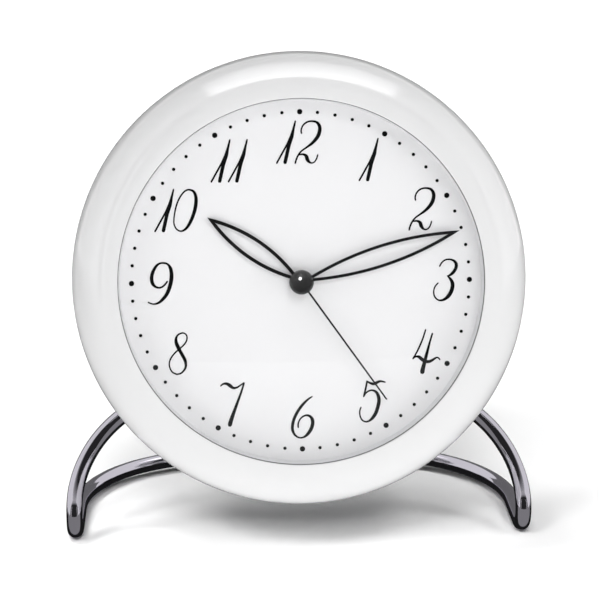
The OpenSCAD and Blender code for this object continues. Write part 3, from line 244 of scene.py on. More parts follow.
def object_from(name, bm, sharp_degrees=32.0):
    """A smooth-shaded object with the bmesh's faces, sharp where two faces meet at more than the angle."""
    bmesh.ops.remove_doubles(bm, verts=bm.verts, dist=1e-7)
    bmesh.ops.recalc_face_normals(bm, faces=bm.faces)
    mesh = bpy.data.meshes.new(name)
    bm.to_mesh(mesh)
    bm.free()
    mesh.polygons.foreach_set("use_smooth", [True] * len(mesh.polygons))
    mesh.set_sharp_from_angle(angle=math.radians(sharp_degrees))
    made = bpy.data.objects.new(name, mesh)
    bpy.context.scene.collection.objects.link(made)
    return made


def turn_into(bm, section, steps, closed=True, place=CASE):
    """Adds an (r, z) section turned about the z axis of a place, which is the case's own unless given."""
    turns = [2 * math.pi * i / steps for i in range(steps)]
    rings = []
    for r, z in section:
        ways = turns if r > ON_AXIS else turns[:1]
        rings.append([bm.verts.new(place @ Vector((r * math.cos(a), r * math.sin(a), z))) for a in ways])
    pairs = list(zip(rings, rings[1:]))
    if closed:
        pairs.append((rings[-1], rings[0]))
    for a, b in pairs:
        for i in range(steps):
            j = (i + 1) % steps
            corners = [a[i % len(a)], a[j % len(a)], b[j % len(b)], b[i % len(b)]]
            face = list(dict.fromkeys(corners))
            if len(face) > 2:
                bm.faces.new(face)


def turned(name, section, steps, closed=True, sharp_degrees=32.0):
    bm = bmesh.new()
    turn_into(bm, section, steps, closed)
    return object_from(name, bm, sharp_degrees)


def swept(name, route, radius, sides):
    """A round rod along a list of points, with its ends closed."""
    bm = bmesh.new()
    side = Vector((0.0, 0.0, 1.0))
    turns = [2 * math.pi * k / sides for k in range(sides)]
    rings = []
    for i, point in enumerate(route):
        ahead = (route[min(i + 1, len(route) - 1)] - route[max(i - 1, 0)]).normalized()
        side = (side - ahead * side.dot(ahead)).normalized()
        across = ahead.cross(side)
        rings.append([bm.verts.new(point + radius * (math.cos(a) * side + math.sin(a) * across))
                      for a in turns])
    for a, b in zip(rings, rings[1:]):
        for k in range(sides):
            bm.faces.new((a[k], a[(k + 1) % sides], b[(k + 1) % sides], b[k]))
    bm.faces.new(rings[0])
    bm.faces.new(rings[-1])
    return object_from(name, bm, sharp_degrees=50.0)


def finish_piece(piece, body, slot_name, material, *nodes):
    """Gives a piece its material, its body and the CAD nodes that it stands for."""
    piece.data.materials.clear()
    piece.data.materials.append(material)
    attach(piece, body)
    if nodes:
        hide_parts(*nodes)


# Shared effects as node groups

# The span of a noise that shows, the width of larger grain, and the pointiness of a convex edge
CLOUD_LOW, CLOUD_HIGH = 0.3, 0.7
COARSE_SCALE = 0.18
EDGE_LOW, EDGE_HIGH = 0.52, 0.62
WEAR_SCALE, WEAR_LEAST = 900.0, 0.2


def new_group(name, inputs, outputs):
    group = bpy.data.node_groups.new(name, "ShaderNodeTree")
    for label, kind, default in inputs:
        socket = group.interface.new_socket(name=label, in_out="INPUT", socket_type=kind)
        socket.default_value = default
    for label, kind in outputs:
        group.interface.new_socket(name=label, in_out="OUTPUT", socket_type=kind)
    return group, group.nodes.new("NodeGroupInput"), group.nodes.new("NodeGroupOutput")


def add_node(tree, kind, **settings):
    node = tree.nodes.new(kind)
    for key, value in settings.items():
        setattr(node, key, value)
    return node


def object_noise(tree, scale, detail=3.0):
    """Noise over a piece's own coordinates, with a socket or a number for its scale."""
    place = add_node(tree, "ShaderNodeTexCoord")
    noise = add_node(tree, "ShaderNodeTexNoise", noise_dimensions="3D")
    noise.inputs["Detail"].default_value = detail
    tree.links.new(place.outputs["Object"], noise.inputs["Vector"])
    if hasattr(scale, "is_output"):
        tree.links.new(scale, noise.inputs["Scale"])
    else:
        noise.inputs["Scale"].default_value = scale
    return noise


def remap(tree, value, low, high, to_low, to_high):
    """Maps a value from one span to another; the ends of the new span may be sockets."""
    node = add_node(tree, "ShaderNodeMapRange")
    tree.links.new(value, node.inputs["Value"])
    for label, end in (("From Min", low), ("From Max", high), ("To Min", to_low), ("To Max", to_high)):
        if hasattr(end, "is_output"):
            tree.links.new(end, node.inputs[label])
        else:
            node.inputs[label].default_value = end
    return node.outputs["Result"]


def make_cloud_group():
    """Slow variation of a colour and of a roughness, as in any moulded or coated surface."""
    group, given, made = new_group(
        "surface_clouds",
        [("Colour", "NodeSocketColor", (0.8, 0.8, 0.8, 1.0)), ("Depth", "NodeSocketFloat", 0.02),
         ("Roughness", "NodeSocketFloat", 0.4), ("Spread", "NodeSocketFloat", 0.05),
         ("Scale", "NodeSocketFloat", 60.0)],
        [("Colour", "NodeSocketColor"), ("Roughness", "NodeSocketFloat")],
    )
    noise = object_noise(group, given.outputs["Scale"], 4.0)
    shade = add_node(group, "ShaderNodeMath", operation="SUBTRACT")
    shade.inputs[0].default_value = 1.0
    group.links.new(given.outputs["Depth"], shade.inputs[1])
    level = remap(group, noise.outputs["Fac"], CLOUD_LOW, CLOUD_HIGH, shade.outputs["Value"], 1.0)
    mix = add_node(group, "ShaderNodeVectorMath", operation="SCALE")
    group.links.new(given.outputs["Colour"], mix.inputs[0])
    group.links.new(level, mix.inputs["Scale"])
    group.links.new(mix.outputs["Vector"], made.inputs["Colour"])
    low = add_node(group, "ShaderNodeMath", operation="SUBTRACT")
    high = add_node(group, "ShaderNodeMath", operation="ADD")
    for node in (low, high):
        group.links.new(given.outputs["Roughness"], node.inputs[0])
        group.links.new(given.outputs["Spread"], node.inputs[1])
    rough = remap(group, noise.outputs["Fac"], CLOUD_LOW, CLOUD_HIGH, low.outputs["Value"],
                  high.outputs["Value"])
    group.links.new(rough, made.inputs["Roughness"])
    return group


def make_grain_group():
    """Fine grain as a height: small bumps with a few larger ones among them."""
    group, given, made = new_group(
        "fine_grain",
        [("Scale", "NodeSocketFloat", 2500.0), ("Coarse", "NodeSocketFloat", 0.25)],
        [("Height", "NodeSocketFloat")],
    )
    fine = object_noise(group, given.outputs["Scale"], 2.0)
    wide_scale = add_node(group, "ShaderNodeMath", operation="MULTIPLY")
    wide_scale.inputs[1].default_value = COARSE_SCALE
    group.links.new(given.outputs["Scale"], wide_scale.inputs[0])
    wide = object_noise(group, wide_scale.outputs["Value"], 2.0)
    mix = add_node(group, "ShaderNodeMix", data_type="FLOAT")
    group.links.new(given.outputs["Coarse"], mix.inputs["Factor"])
    group.links.new(fine.outputs["Fac"], mix.inputs["A"])
    group.links.new(wide.outputs["Fac"], mix.inputs["B"])
    group.links.new(mix.outputs["Result"], made.inputs["Height"])
    return group


def make_wear_group():
    """Lighter or darker colour on the convex edges, where hands and tools rub."""
    group, given, made = new_group(
        "edge_wear",
        [("Colour", "NodeSocketColor", (0.5, 0.5, 0.5, 1.0)),
         ("Worn", "NodeSocketColor", (0.7, 0.7, 0.7, 1.0)), ("Amount", "NodeSocketFloat", 0.3)],
        [("Colour", "NodeSocketColor")],
    )
    shape = add_node(group, "ShaderNodeNewGeometry")
    convex = remap(group, shape.outputs["Pointiness"], EDGE_LOW, EDGE_HIGH, 0.0, 1.0)
    noise = object_noise(group, WEAR_SCALE, 4.0)
    broken = remap(group, noise.outputs["Fac"], 0.4, 0.6, WEAR_LEAST, 1.0)
    amount = add_node(group, "ShaderNodeMath", operation="MULTIPLY")
    group.links.new(convex, amount.inputs[0])
    group.links.new(broken, amount.inputs[1])
    scaled = add_node(group, "ShaderNodeMath", operation="MULTIPLY")
    group.links.new(amount.outputs["Value"], scaled.inputs[0])
    group.links.new(given.outputs["Amount"], scaled.inputs[1])
    mix = add_node(group, "ShaderNodeMix", data_type="RGBA")
    group.links.new(scaled.outputs["Value"], mix.inputs["Factor"])
    group.links.new(given.outputs["Colour"], mix.inputs["A"])
    group.links.new(given.outputs["Worn"], mix.inputs["B"])
    group.links.new(mix.outputs["Result"], made.inputs["Colour"])
    return group


GROUP_MAKERS = {
    "surface_clouds": make_cloud_group,
    "fine_grain": make_grain_group,
    "edge_wear": make_wear_group,
}


def place_group(tree, name, **values):
    """A shared group in a material's tree, made the first time that one asks for it."""
    shared = bpy.data.node_groups.get(name) or GROUP_MAKERS[name]()
    node = add_node(tree, "ShaderNodeGroup", node_tree=shared)
    for label, value in values.items():
        node.inputs[label].default_value = value
    return node


# Materials


def rgba(value):
    return (value[0], value[1], value[2], 1.0)


# Colour, roughness and its spread, depth and scale of the clouds, scale and height of the grain in
# metres, and the rest by name. A colour in quotes is one that the panel offers.
FINISHES = {
    "case_lacquer": ("case_white", 0.12, 0.025, 0.012, 45.0, 260.0, 0.000006, dict(coarse=0.5, coat=0.6)),
    "dial_matt": ("dial_white", 0.62, 0.06, 0.012, 90.0, 5200.0, 0.00001, {}),
    "print_ink": ("print_black", 0.5, 0.1, 0.3, 700.0, 6000.0, 0.000006, dict(ior=1.2)),
    "hand_lacquer": ("hand_black", 0.42, 0.08, 0.25, 500.0, 4200.0, 0.000006,
                     dict(worn=(0.02, 0.02, 0.021), wear=0.5, ior=1.25)),
    "ball_gloss": ("ball_black", 0.14, 0.03, 0.2, 300.0, None, None, dict(ior=1.3)),
    "bright_rod": ("rod_metal", 0.07, 0.025, 0.06, 120.0, 900.0, 0.0000018,
                   dict(metallic=1.0, coarse=0.6)),
    "white_moulding": ((0.72, 0.72, 0.73), 0.4, 0.06, 0.03, 70.0, 3200.0, 0.00002, {}),
    "black_moulding": ((0.018, 0.018, 0.02), 0.5, 0.08, 0.25, 90.0, 2600.0, 0.000014,
                       dict(worn=(0.08, 0.08, 0.085), wear=0.4)),
    "knob_moulding": ((0.022, 0.022, 0.024), 0.42, 0.08, 0.2, 200.0, 3600.0, 0.000015,
                      dict(worn=(0.10, 0.10, 0.11), wear=0.6)),
    "foot_rubber": ((0.02, 0.02, 0.021), 0.75, 0.1, 0.3, 150.0, 2200.0, 0.00003,
                    dict(worn=(0.06, 0.06, 0.06), wear=0.4)),
    # The lens seal: its dark grey paints the thin line of shade at the lens's edge
    "seal_rubber": ((0.13, 0.13, 0.132), 0.7, 0.08, 0.2, 400.0, 5000.0, 0.00001, {}),
    "zinc_steel": ((0.55, 0.55, 0.57), 0.32, 0.08, 0.15, 400.0, 3000.0, 0.00001,
                   dict(metallic=1.0, worn=(0.8, 0.8, 0.8), wear=0.5)),
    "pale_resin": ((0.52, 0.52, 0.47), 0.45, 0.06, 0.06, 160.0, 3000.0, 0.00001, {}),
    "gear_resin": ((0.72, 0.70, 0.62), 0.38, 0.05, 0.05, 220.0, 3600.0, 0.000006, {}),
    "wheel_brass": ((0.62, 0.43, 0.14), 0.28, 0.08, 0.12, 300.0, 2800.0, 0.000006,
                    dict(metallic=1.0, worn=(0.85, 0.66, 0.3), wear=0.5)),
    "motor_iron": ((0.32, 0.32, 0.34), 0.42, 0.1, 0.25, 260.0, 2400.0, 0.00001,
                   dict(metallic=1.0, worn=(0.6, 0.6, 0.6), wear=0.4)),
    "magnet_grey": ((0.08, 0.08, 0.085), 0.55, 0.08, 0.2, 500.0, 3800.0, 0.00001, dict(metallic=0.6)),
    "coil_copper": ((0.55, 0.2, 0.08), 0.3, 0.06, 0.2, 400.0, None, None, dict(metallic=0.8)),
    "board_green": ((0.02, 0.13, 0.06), 0.35, 0.06, 0.3, 900.0, 1800.0, 0.00001, {}),
    "chip_black": ((0.02, 0.02, 0.02), 0.6, 0.08, 0.2, 700.0, 5000.0, 0.00001, {}),
    "crystal_can": ((0.66, 0.66, 0.68), 0.25, 0.06, 0.1, 500.0, 2600.0, 0.000006, dict(metallic=1.0)),
    "cell_sleeve": ((0.045, 0.05, 0.065), 0.25, 0.05, 0.15, 120.0, 900.0, 0.00001, dict(coat=0.3)),
    "contact_metal": ((0.56, 0.53, 0.42), 0.3, 0.08, 0.15, 600.0, 2600.0, 0.000008, dict(metallic=1.0)),
    "floor_paint": ("floor_white", 0.9, 0.02, 0.004, 8.0, None, None, {}),
}
WIRE_SCALE, WIRE_HEIGHT = 1600.0, 0.00004


def finish(name):
    """The material of a row of the table."""
    found = bpy.data.materials.get(f"{name}_finish")
    if found:
        return found
    base, *rest, more = FINISHES[name]
    if isinstance(base, str):
        base = getattr(bpy.context.scene.clock_colours, base)
    made = surface(name, base, *rest, **more)
    if name == "coil_copper":
        wind(made.node_tree)
    return made


def surface(name, base, roughness, spread, depth, clouds, grain, grain_depth, metallic=0.0, coarse=0.25,
            worn=None, wear=0.3, coat=0.0, ior=1.5):
    """A Principled material whose colour, roughness and relief vary over the surface."""
    made = bpy.data.materials.new(f"{name}_finish")
    made.use_nodes = True
    tree = made.node_tree
    shader = tree.nodes["Principled BSDF"]
    shader.inputs["Metallic"].default_value = metallic
    shader.inputs["IOR"].default_value = ior
    shader.inputs["Coat Weight"].default_value = coat
    shader.inputs["Coat Roughness"].default_value = 0.03
    clouds_node = place_group(tree, "surface_clouds", Colour=rgba(base), Depth=depth, Roughness=roughness,
                              Spread=spread, Scale=clouds)
    tree.links.new(clouds_node.outputs["Roughness"], shader.inputs["Roughness"])
    if worn:
        wear_node = place_group(tree, "edge_wear", Worn=rgba(worn), Amount=wear)
        tree.links.new(clouds_node.outputs["Colour"], wear_node.inputs["Colour"])
        tree.links.new(wear_node.outputs["Colour"], shader.inputs["Base Color"])
    else:
        tree.links.new(clouds_node.outputs["Colour"], shader.inputs["Base Color"])
    if grain:
        grain_node = place_group(tree, "fine_grain", Scale=grain, Coarse=coarse)
        raise_surface(tree, grain_node.outputs["Height"], grain_depth)
    return made


def raise_surface(tree, height, depth):
    bump = add_node(tree, "ShaderNodeBump")
    bump.inputs["Strength"].default_value = 1.0
    bump.inputs["Distance"].default_value = depth
    tree.links.new(height, bump.inputs["Height"])
    tree.links.new(bump.outputs["Normal"], tree.nodes["Principled BSDF"].inputs["Normal"])


def wind(tree):
    """Fine turns of wire side by side along the coil, as a wave in height."""
    place = add_node(tree, "ShaderNodeTexCoord")
    wave = add_node(tree, "ShaderNodeTexWave", wave_type="BANDS", bands_direction="X")
    wave.inputs["Scale"].default_value = WIRE_SCALE
    tree.links.new(place.outputs["Object"], wave.inputs["Vector"])
    raise_surface(tree, wave.outputs["Fac"], WIRE_HEIGHT)


def clear_lens():
    """Clear moulded lens that lets the lamps through to the dial."""
    found = bpy.data.materials.get("clear_lens_finish")
    if found:
        return found
    made = bpy.data.materials.new("clear_lens_finish")
    made.use_nodes = True
    tree = made.node_tree
    shader = tree.nodes["Principled BSDF"]
    shader.inputs["Transmission Weight"].default_value = 1.0
    shader.inputs["IOR"].default_value = 1.45
    shader.inputs["Specular IOR Level"].default_value = 0.15
    clouds_node = place_group(tree, "surface_clouds", Colour=(0.985, 0.99, 0.995, 1.0), Depth=0.004,
                              Roughness=0.006, Spread=0.004, Scale=40.0)
    tree.links.new(clouds_node.outputs["Colour"], shader.inputs["Base Color"])
    tree.links.new(clouds_node.outputs["Roughness"], shader.inputs["Roughness"])
    clear = add_node(tree, "ShaderNodeBsdfTransparent")
    path = add_node(tree, "ShaderNodeLightPath")
    either = add_node(tree, "ShaderNodeMath", operation="MAXIMUM")
    mix = add_node(tree, "ShaderNodeMixShader")
    out = tree.nodes["Material Output"]
    tree.links.new(path.outputs["Is Shadow Ray"], either.inputs[0])
    tree.links.new(path.outputs["Is Diffuse Ray"], either.inputs[1])
    tree.links.new(either.outputs["Value"], mix.inputs["Fac"])
    tree.links.new(shader.outputs["BSDF"], mix.inputs[1])
    tree.links.new(clear.outputs["BSDF"], mix.inputs[2])
    tree.links.new(mix.outputs["Shader"], out.inputs["Surface"])
    return made


# Pieces


class CLOCK_OT_case_ring(bpy.types.Operator):
    """Makes the glossy case: rounded nose, tapered side, collar for the lens and rod sockets"""

    bl_idname = "clock.case_ring"
    bl_label = "Case ring"

    def execute(self, context):
        size = context.scene.clock_case
        stand = context.scene.clock_stand
        low, high = case_box("case_shell")
        nose_x = high.x - size.nose_radius
        back = low.z
        taper = math.tan(size.taper)
        side_top = -size.nose_radius * math.sin(size.taper)
        side_r = nose_x + size.nose_radius * math.cos(size.taper)
        back_r = side_r - (side_top - back) * taper
        inner_r = back_r - size.wall / math.cos(size.taper)
        lens_edge = case_box("front_lens")[1].x
        seat = math.sqrt(size.nose_radius ** 2 - (size.window_radius - nose_x) ** 2) - size.lip
        start = math.acos((size.window_radius - nose_x) / size.nose_radius)
        skin = size.nose_radius - size.wall
        collar_low = case_box("dial_chassis")[0].z + size.wall
        collar_in = lens_edge + size.edge_round
        collar_out = collar_in + size.wall
        nose = arc((nose_x, 0.0), size.nose_radius, start, -size.taper, NOSE_STEPS)
        under = arc((nose_x, 0.0), skin, -size.taper, math.acos((collar_out - nose_x) / skin), SKIN_STEPS)
        section = nose + [
            (back_r + size.back_chamfer * taper, back + size.back_chamfer),
            (back_r - size.back_chamfer, back),
            (inner_r, back),
        ] + under + [
            (collar_out, collar_low),
            (collar_in, collar_low),
            (collar_in, seat),
            (size.window_radius, seat),
        ]
        first_back = len(nose)
        section = rounded(section, size.edge_round, {0, first_back, first_back + 1, len(section) - 1})
        ring = turned("case_ring", section, size.steps, sharp_degrees=38.0)
        cutter = self.sockets(stand, high.x)
        cut = ring.modifiers.new("sockets", "BOOLEAN")
        cut.operation = "DIFFERENCE"
        cut.solver = "EXACT"
        cut.object = cutter
        with context.temp_override(object=ring, active_object=ring, selected_objects=[ring]):
            bpy.ops.object.modifier_apply(modifier=cut.name)
        bpy.data.objects.remove(cutter)
        finish_piece(ring, "clock", "glossy_white", finish("case_lacquer"), "case_shell")
        return {"FINISHED"}

    def sockets(self, stand, reach):
        """Two round cutters where the rod enters the side of the case."""
        bm = bmesh.new()
        for mirror in (1.0, -1.0):
            way = Vector((mirror * math.cos(stand.leg_angle), -math.sin(stand.leg_angle), 0.0))
            middle = CASE @ (way * reach + Vector((0.0, 0.0, -stand.setback)))
            turn = (CASE.to_3x3() @ way).to_track_quat("Z", "Y").to_matrix().to_4x4()
            place = Matrix.Translation(middle) @ turn
            hole = stand.rod_radius * SOCKET_FIT
            bmesh.ops.create_cone(bm, cap_ends=True, segments=stand.sides, radius1=hole, radius2=hole,
                                  depth=2 * stand.plug, matrix=place)
        return object_from("socket_cutter", bm)


class CLOCK_OT_front_lens(bpy.types.Operator):
    """Makes the clear domed lens behind the front lip and the thin dark seal round it, whose colour paints
    the line of shade at the lens's edge
    """

    bl_idname = "clock.front_lens"
    bl_label = "Front lens"

    def execute(self, context):
        size = context.scene.clock_case
        low, high = case_box("front_lens")
        back, edge = low.z, high.x
        dome = size.window_radius - size.edge_round
        radius = (dome ** 2 + size.lens_rise ** 2) / (2 * size.lens_rise)
        seat = back + size.lens_thickness
        half = math.asin(dome / radius)
        turns = [half * (1 - i / LENS_STEPS) for i in range(LENS_STEPS + 1)]
        top = [(radius * math.sin(a), seat + size.lens_rise - radius + radius * math.cos(a)) for a in turns]
        under = [(r, z - size.lens_thickness) for r, z in reversed(top)]
        section = [(edge, back), (edge, seat)] + top + under[:-1] + [(dome, back)]
        section = rounded(section, size.edge_round / 2, {1})
        lens = turned("front_lens_clear", section, size.steps // 2, sharp_degrees=30.0)
        finish_piece(lens, "clock", "clear_lens", clear_lens(), "front_lens")
        # A thin dark seal round the lens, whose colour paints the line of shade at the lens's edge
        window, tuck, high_z = size.window_radius, size.edge_round, seat + size.seal
        section = [(window - size.seal, seat), (window + tuck, seat), (window + tuck, seat + tuck),
                   (window, high_z), (window - size.seal / 2, high_z)]
        seal = turned("lens_seal", section, size.steps)
        finish_piece(seal, "clock", "foot_rubber", finish("seal_rubber"))
        return {"FINISHED"}


class CLOCK_OT_dial(bpy.types.Operator):
    """Makes the dial plate and the ring that holds it away from the lens"""

    bl_idname = "clock.dial"
    bl_label = "Dial"

    def execute(self, context):
        size = context.scene.clock_case
        low, high = case_box("dial_plate")
        section = [(high.x, low.z), (high.x, high.z), (DIAL_HOLE, high.z), (DIAL_HOLE, low.z)]
        section = rounded(section, size.edge_round / 3, {1, 2})
        plate = turned("dial_face", section, size.steps // 2)
        finish_piece(plate, "clock", "dial_white", finish("dial_matt"), "dial_plate")
        low, high = case_box("lens_spacer_ring")
        inner = size.window_radius + SPACER_GAP
        section = [(inner, high.z), (high.x, high.z), (high.x, low.z), (inner - SPACER_DRAFT, low.z)]
        section = rounded(section, size.edge_round, {0, 3})
        ring = turned("lens_spacer", section, size.steps)
        finish_piece(ring, "clock", "white_moulding", finish("white_moulding"), "lens_spacer_ring")
        return {"FINISHED"}


# Sides of a leaf's six-sided section that face its opening, and are left out where it is solid
INNER_WALL = (3, 4)


class CLOCK_OT_hands(bpy.types.Operator):
    """Makes the two leaf hands and the thin second hand"""

    bl_idname = "clock.hands"
    bl_label = "Hands"

    def execute(self, context):
        size = context.scene.clock_hands
        self.leaf("hour_leaf", "hour_hand", "hours", size.hour_length, size.hour_width, size.hour_line,
                  size.hour_at, HOUR_BORE, size)
        self.leaf("minute_leaf", "minute_hand", "minutes", size.minute_length, size.minute_width,
                  size.minute_line, size.minute_at, MINUTE_BORE, size)
        self.needle(size)
        return {"FINISHED"}

    def place(self, at, low):
        return CASE @ Matrix.Translation((0.0, 0.0, low)) @ Matrix.Rotation(-at, 4, "Z")

    def hub_ring(self, bm, bore, height, size, place):
        """A flat ring with a soft outer edge, round the pipe that carries a hand."""
        outer, edge = bore + size.hub, size.edge
        section = [(bore, 0.0), (outer, 0.0), (outer, height - edge), (outer - edge, height), (bore, height)]
        turn_into(bm, section, HUB_STEPS, place=place)

    def leaf(self, name, node, body, reach, width, line, at, bore, size):
        """An open leaf: two arcs of one width that meet at the centre and at the tip."""
        low, high = case_box(node)
        height = high.z - low.z
        place = self.place(at, low.z)
        outer_r = ((width / 2) ** 2 + (reach / 2) ** 2) / width
        shift = outer_r - width / 2
        inner_r = outer_r - line
        half = math.asin(reach / 2 / outer_r)
        bm = bmesh.new()
        for side in (1.0, -1.0):
            rows = []
            for i in range(LEAF_STEPS + 1):
                a = -half + 2 * half * i / LEAF_STEPS
                way = (math.cos(a), math.sin(a))
                outer = (max(outer_r * way[0] - shift, 0.0), reach / 2 + outer_r * way[1])
                inner_x = inner_r * way[0] - shift
                open_here = inner_x > 0
                inner = (inner_x, reach / 2 + inner_r * way[1]) if open_here else (0.0, outer[1])
                soft = min(size.edge, (outer[0] - inner[0]) / 3)
                rows.append((outer, inner, soft, open_here))
            rings = []
            for outer, inner, soft, open_here in rows:
                inset = soft if open_here else 0.0
                points = [(outer[0], outer[1], 0.0), (outer[0], outer[1], height - soft),
                          (outer[0] - soft, outer[1], height), (inner[0] + inset, inner[1], height),
                          (inner[0], inner[1], height - inset), (inner[0], inner[1], 0.0)]
                rings.append([bm.verts.new(place @ Vector((side * x, y, z))) for x, y, z in points])
            for a, b, row, after in zip(rings, rings[1:], rows, rows[1:]):
                walled = row[-1] or after[-1]
                for k in range(len(a)):
                    if k in INNER_WALL and not walled:
                        continue
                    n = (k + 1) % len(a)
                    bm.faces.new((a[k], a[n], b[n], b[k]))
        bmesh.ops.remove_doubles(bm, verts=bm.verts, dist=2e-7)
        bmesh.ops.dissolve_degenerate(bm, dist=1e-7, edges=bm.edges)
        self.hub_ring(bm, bore, height, size, place)
        hand = object_from(name, bm, HAND_SHARP)
        finish_piece(hand, body, "hand_black", finish("hand_lacquer"), node)

    def needle(self, size):
        """The second hand: a thin strip that narrows to its tip, on a small hub."""
        low, high = case_box("second_hand")
        height = high.z - low.z
        place = self.place(size.second_at, low.z)
        bm = bmesh.new()
        rings = []
        root = SECOND_BORE + size.hub / 2
        e = size.edge
        for y, width in ((root, size.second_width), (size.second_length, size.second_tip)):
            w = width / 2
            points = [(w, 0.0), (w, height - e), (w - e, height),
                      (e - w, height), (-w, height - e), (-w, 0.0)]
            rings.append([bm.verts.new(place @ Vector((x, y, z))) for x, z in points])
        a, b = rings
        for k in range(len(a)):
            n = (k + 1) % len(a)
            bm.faces.new((a[k], a[n], b[n], b[k]))
        bm.faces.new(a)
        bm.faces.new(b)
        self.hub_ring(bm, SECOND_BORE, height, size, place)
        hand = object_from("second_needle", bm, HAND_SHARP)
        finish_piece(hand, "seconds", "hand_black", finish("hand_lacquer"), "second_hand")


class CLOCK_OT_centre_ball(bpy.types.Operator):
    """Makes the gloss black ball over the hands"""

    bl_idname = "clock.centre_ball"
    bl_label = "Centre ball"

    def execute(self, context):
        low, high = case_box("centre_ball")
        radius = (high.x - low.x) / 2
        centre = high.z - radius
        start = math.asin((low.z - centre) / radius)
        section = arc((0.0, centre), radius, start, math.pi / 2, BALL_RISE_STEPS)
        section[-1] = (0.0, centre + radius)
        section = [(0.0, low.z), (section[0][0] * BALL_FOOT, low.z)] + section
        ball = turned("gloss_ball", section, BALL_STEPS, closed=False, sharp_degrees=50.0)
        finish_piece(ball, "seconds", "ball_black", finish("ball_gloss"), "centre_ball")
        return {"FINISHED"}


class CLOCK_OT_stand(bpy.types.Operator):
    """Bends the bright rod: out of the case, round the feet and back to the rear crossbar"""

    bl_idname = "clock.stand"
    bl_label = "Stand"

    def execute(self, context):
        size = context.scene.clock_stand
        half = self.half_route(size, half_width("case_shell"))
        other = [Vector((-p.x, p.y, p.z)) for p in reversed(half)]
        rod = swept("bright_bent_rod", half + other, size.rod_radius, size.sides)
        finish_piece(rod, "clock", "bright_rod", finish("bright_rod"), "stand_rod")
        return {"FINISHED"}

    def half_route(self, size, case_radius):
        """Centreline of the right half, from inside the case to the middle of the crossbar."""
        turn = CASE.to_3x3()
        cos_leg, sin_leg = math.cos(size.leg_angle), math.sin(size.leg_angle)
        way = turn @ Vector((cos_leg, -sin_leg, 0.0))
        bend_to = turn @ Vector((-sin_leg * math.cos(size.leg_lean), -cos_leg * math.cos(size.leg_lean),
                                 math.sin(size.leg_lean)))
        start = CASE @ (Vector((cos_leg, -sin_leg, 0.0)) * (case_radius - size.plug)
                        + Vector((0.0, 0.0, -size.setback)))
        leg_turn = math.atan2(way.x, -bend_to.x)
        down = math.cos(leg_turn) * way + math.sin(leg_turn) * bend_to
        rail = Vector((0.0, math.cos(size.rail_rise), math.sin(size.rail_rise)))
        inward = Vector((-1.0, 0.0, 0.0))
        foot_to = Vector((0.0, -down.z, down.y))
        foot_turn = math.acos(down.dot(rail))
        drop = size.leg_bend * (math.sin(leg_turn) * way.z + (1 - math.cos(leg_turn)) * bend_to.z)
        foot_z = size.rod_radius + size.foot_bend - size.foot_bend * foot_to.z
        leg_len = (foot_z - drop - start.z) / way.z
        route = [start, start + leg_len * way]
        route += self.bend(route[-1], way, bend_to, size.leg_bend, leg_turn, LEG_STEPS)
        route += self.bend(route[-1], down, foot_to, size.foot_bend, foot_turn, FOOT_STEPS)
        back = CASE.translation.y + size.crossbar_back - size.corner * rail.y
        route.append(route[-1] + rail * ((back - route[-1].y) / rail.y))
        route += self.bend(route[-1], rail, inward, size.corner, math.pi / 2, CORNER_STEPS)
        return route

    def bend(self, start, way, toward, radius, turn, steps):
        """Points on a bend that leaves a start along a way and curves toward a side."""
        turns = [turn * (i + 1) / steps for i in range(steps)]
        return [start + radius * (math.sin(a) * way + (1 - math.cos(a)) * toward) for a in turns]


# The CAD nodes that are shown as they are, under the finish that each one gets
CAD_FINISHES = {
    "print_ink": ("dial_numerals", "hour_dots", "minute_dots"),
    "white_moulding": ("dial_chassis", "rear_cover"),
    "zinc_steel": ("chassis_screws", "rear_cover_screws", "rod_clamp_screws", "bridge_screws",
                   "movement_screws", "movement_mount_screws"),
    "foot_rubber": ("rear_rubber_foot",),
    "black_moulding": ("movement_front", "movement_back", "battery_cover"),
    "knob_moulding": ("setting_knob",),
    "pale_resin": ("middle_plate", "train_bridge"),
    "gear_resin": ("rotor_pinion", "intermediate_wheel", "second_wheel", "third_wheel", "motion_wheel",
                   "hour_wheel", "coil_bobbin"),
    "wheel_brass": ("centre_wheel", "cannon_pinion"),
    "motor_iron": ("stator", "coil_core"),
    "magnet_grey": ("rotor_magnet",),
    "coil_copper": ("coil_winding",),
    "board_green": ("circuit_board",),
    "chip_black": ("timing_chip",),
    "crystal_can": ("quartz_crystal",),
    "cell_sleeve": ("battery",),
    "contact_metal": ("positive_contact", "negative_contact"),
}


class CLOCK_OT_inner_finishes(bpy.types.Operator):
    """Gives every carried-over piece of the movement, the back and the print its finish"""

    bl_idname = "clock.inner_finishes"
    bl_label = "Inner finishes"

    def execute(self, context):
        for name, nodes in CAD_FINISHES.items():
            for node in nodes:
                piece = frame["nodes"][node]
                piece.data.materials.clear()
                piece.data.materials.append(finish(name))
        return {"FINISHED"}


# Studio

# Suns on the floor alone: degrees round from the front, degrees above level, share of the light.
# Together they give the floor a soft shadow that is shaped like the photograph's.
FLOOR_SUNS = ((-45, 45, 0.178), (-15, 45, 0.119), (0, 35, 0.108), (0, 55, 0.143), (60, 55, 0.124),
              (-90, 65, 0.163), (-105, 75, 0.167))
FLOOR_SUN_WIDTH = math.radians(15.0)
FLOOR_HALF = 4.0

# The lamps on the pieces alone: place and width of the key, then name, place and width in metres, power
KEY_PLACE, KEY_WIDTH = (0.28, -0.85, 0.82), math.radians(28.0)
FILLS = (
    ("left_fill", (-0.55, -0.28, 0.16), 0.35, "left"),
    ("right_fill", (0.55, -0.28, 0.16), 0.35, "right"),
    ("front_fill", (0.0, -0.66, 0.20), 0.30, "front"),
    ("low_fill", (0.0, -0.42, -0.22), 0.30, "low"),
    ("top_fill", (0.0, -0.05, 0.62), 0.40, "top"),
    ("left_behind", (-0.45, 0.62, 0.28), 0.35, "behind"),
    ("right_behind", (0.45, 0.62, 0.28), 0.35, "behind"),
)
SPARK_PLACE, SPARK_WIDTH = (-0.125, -0.36, 0.46), 0.27


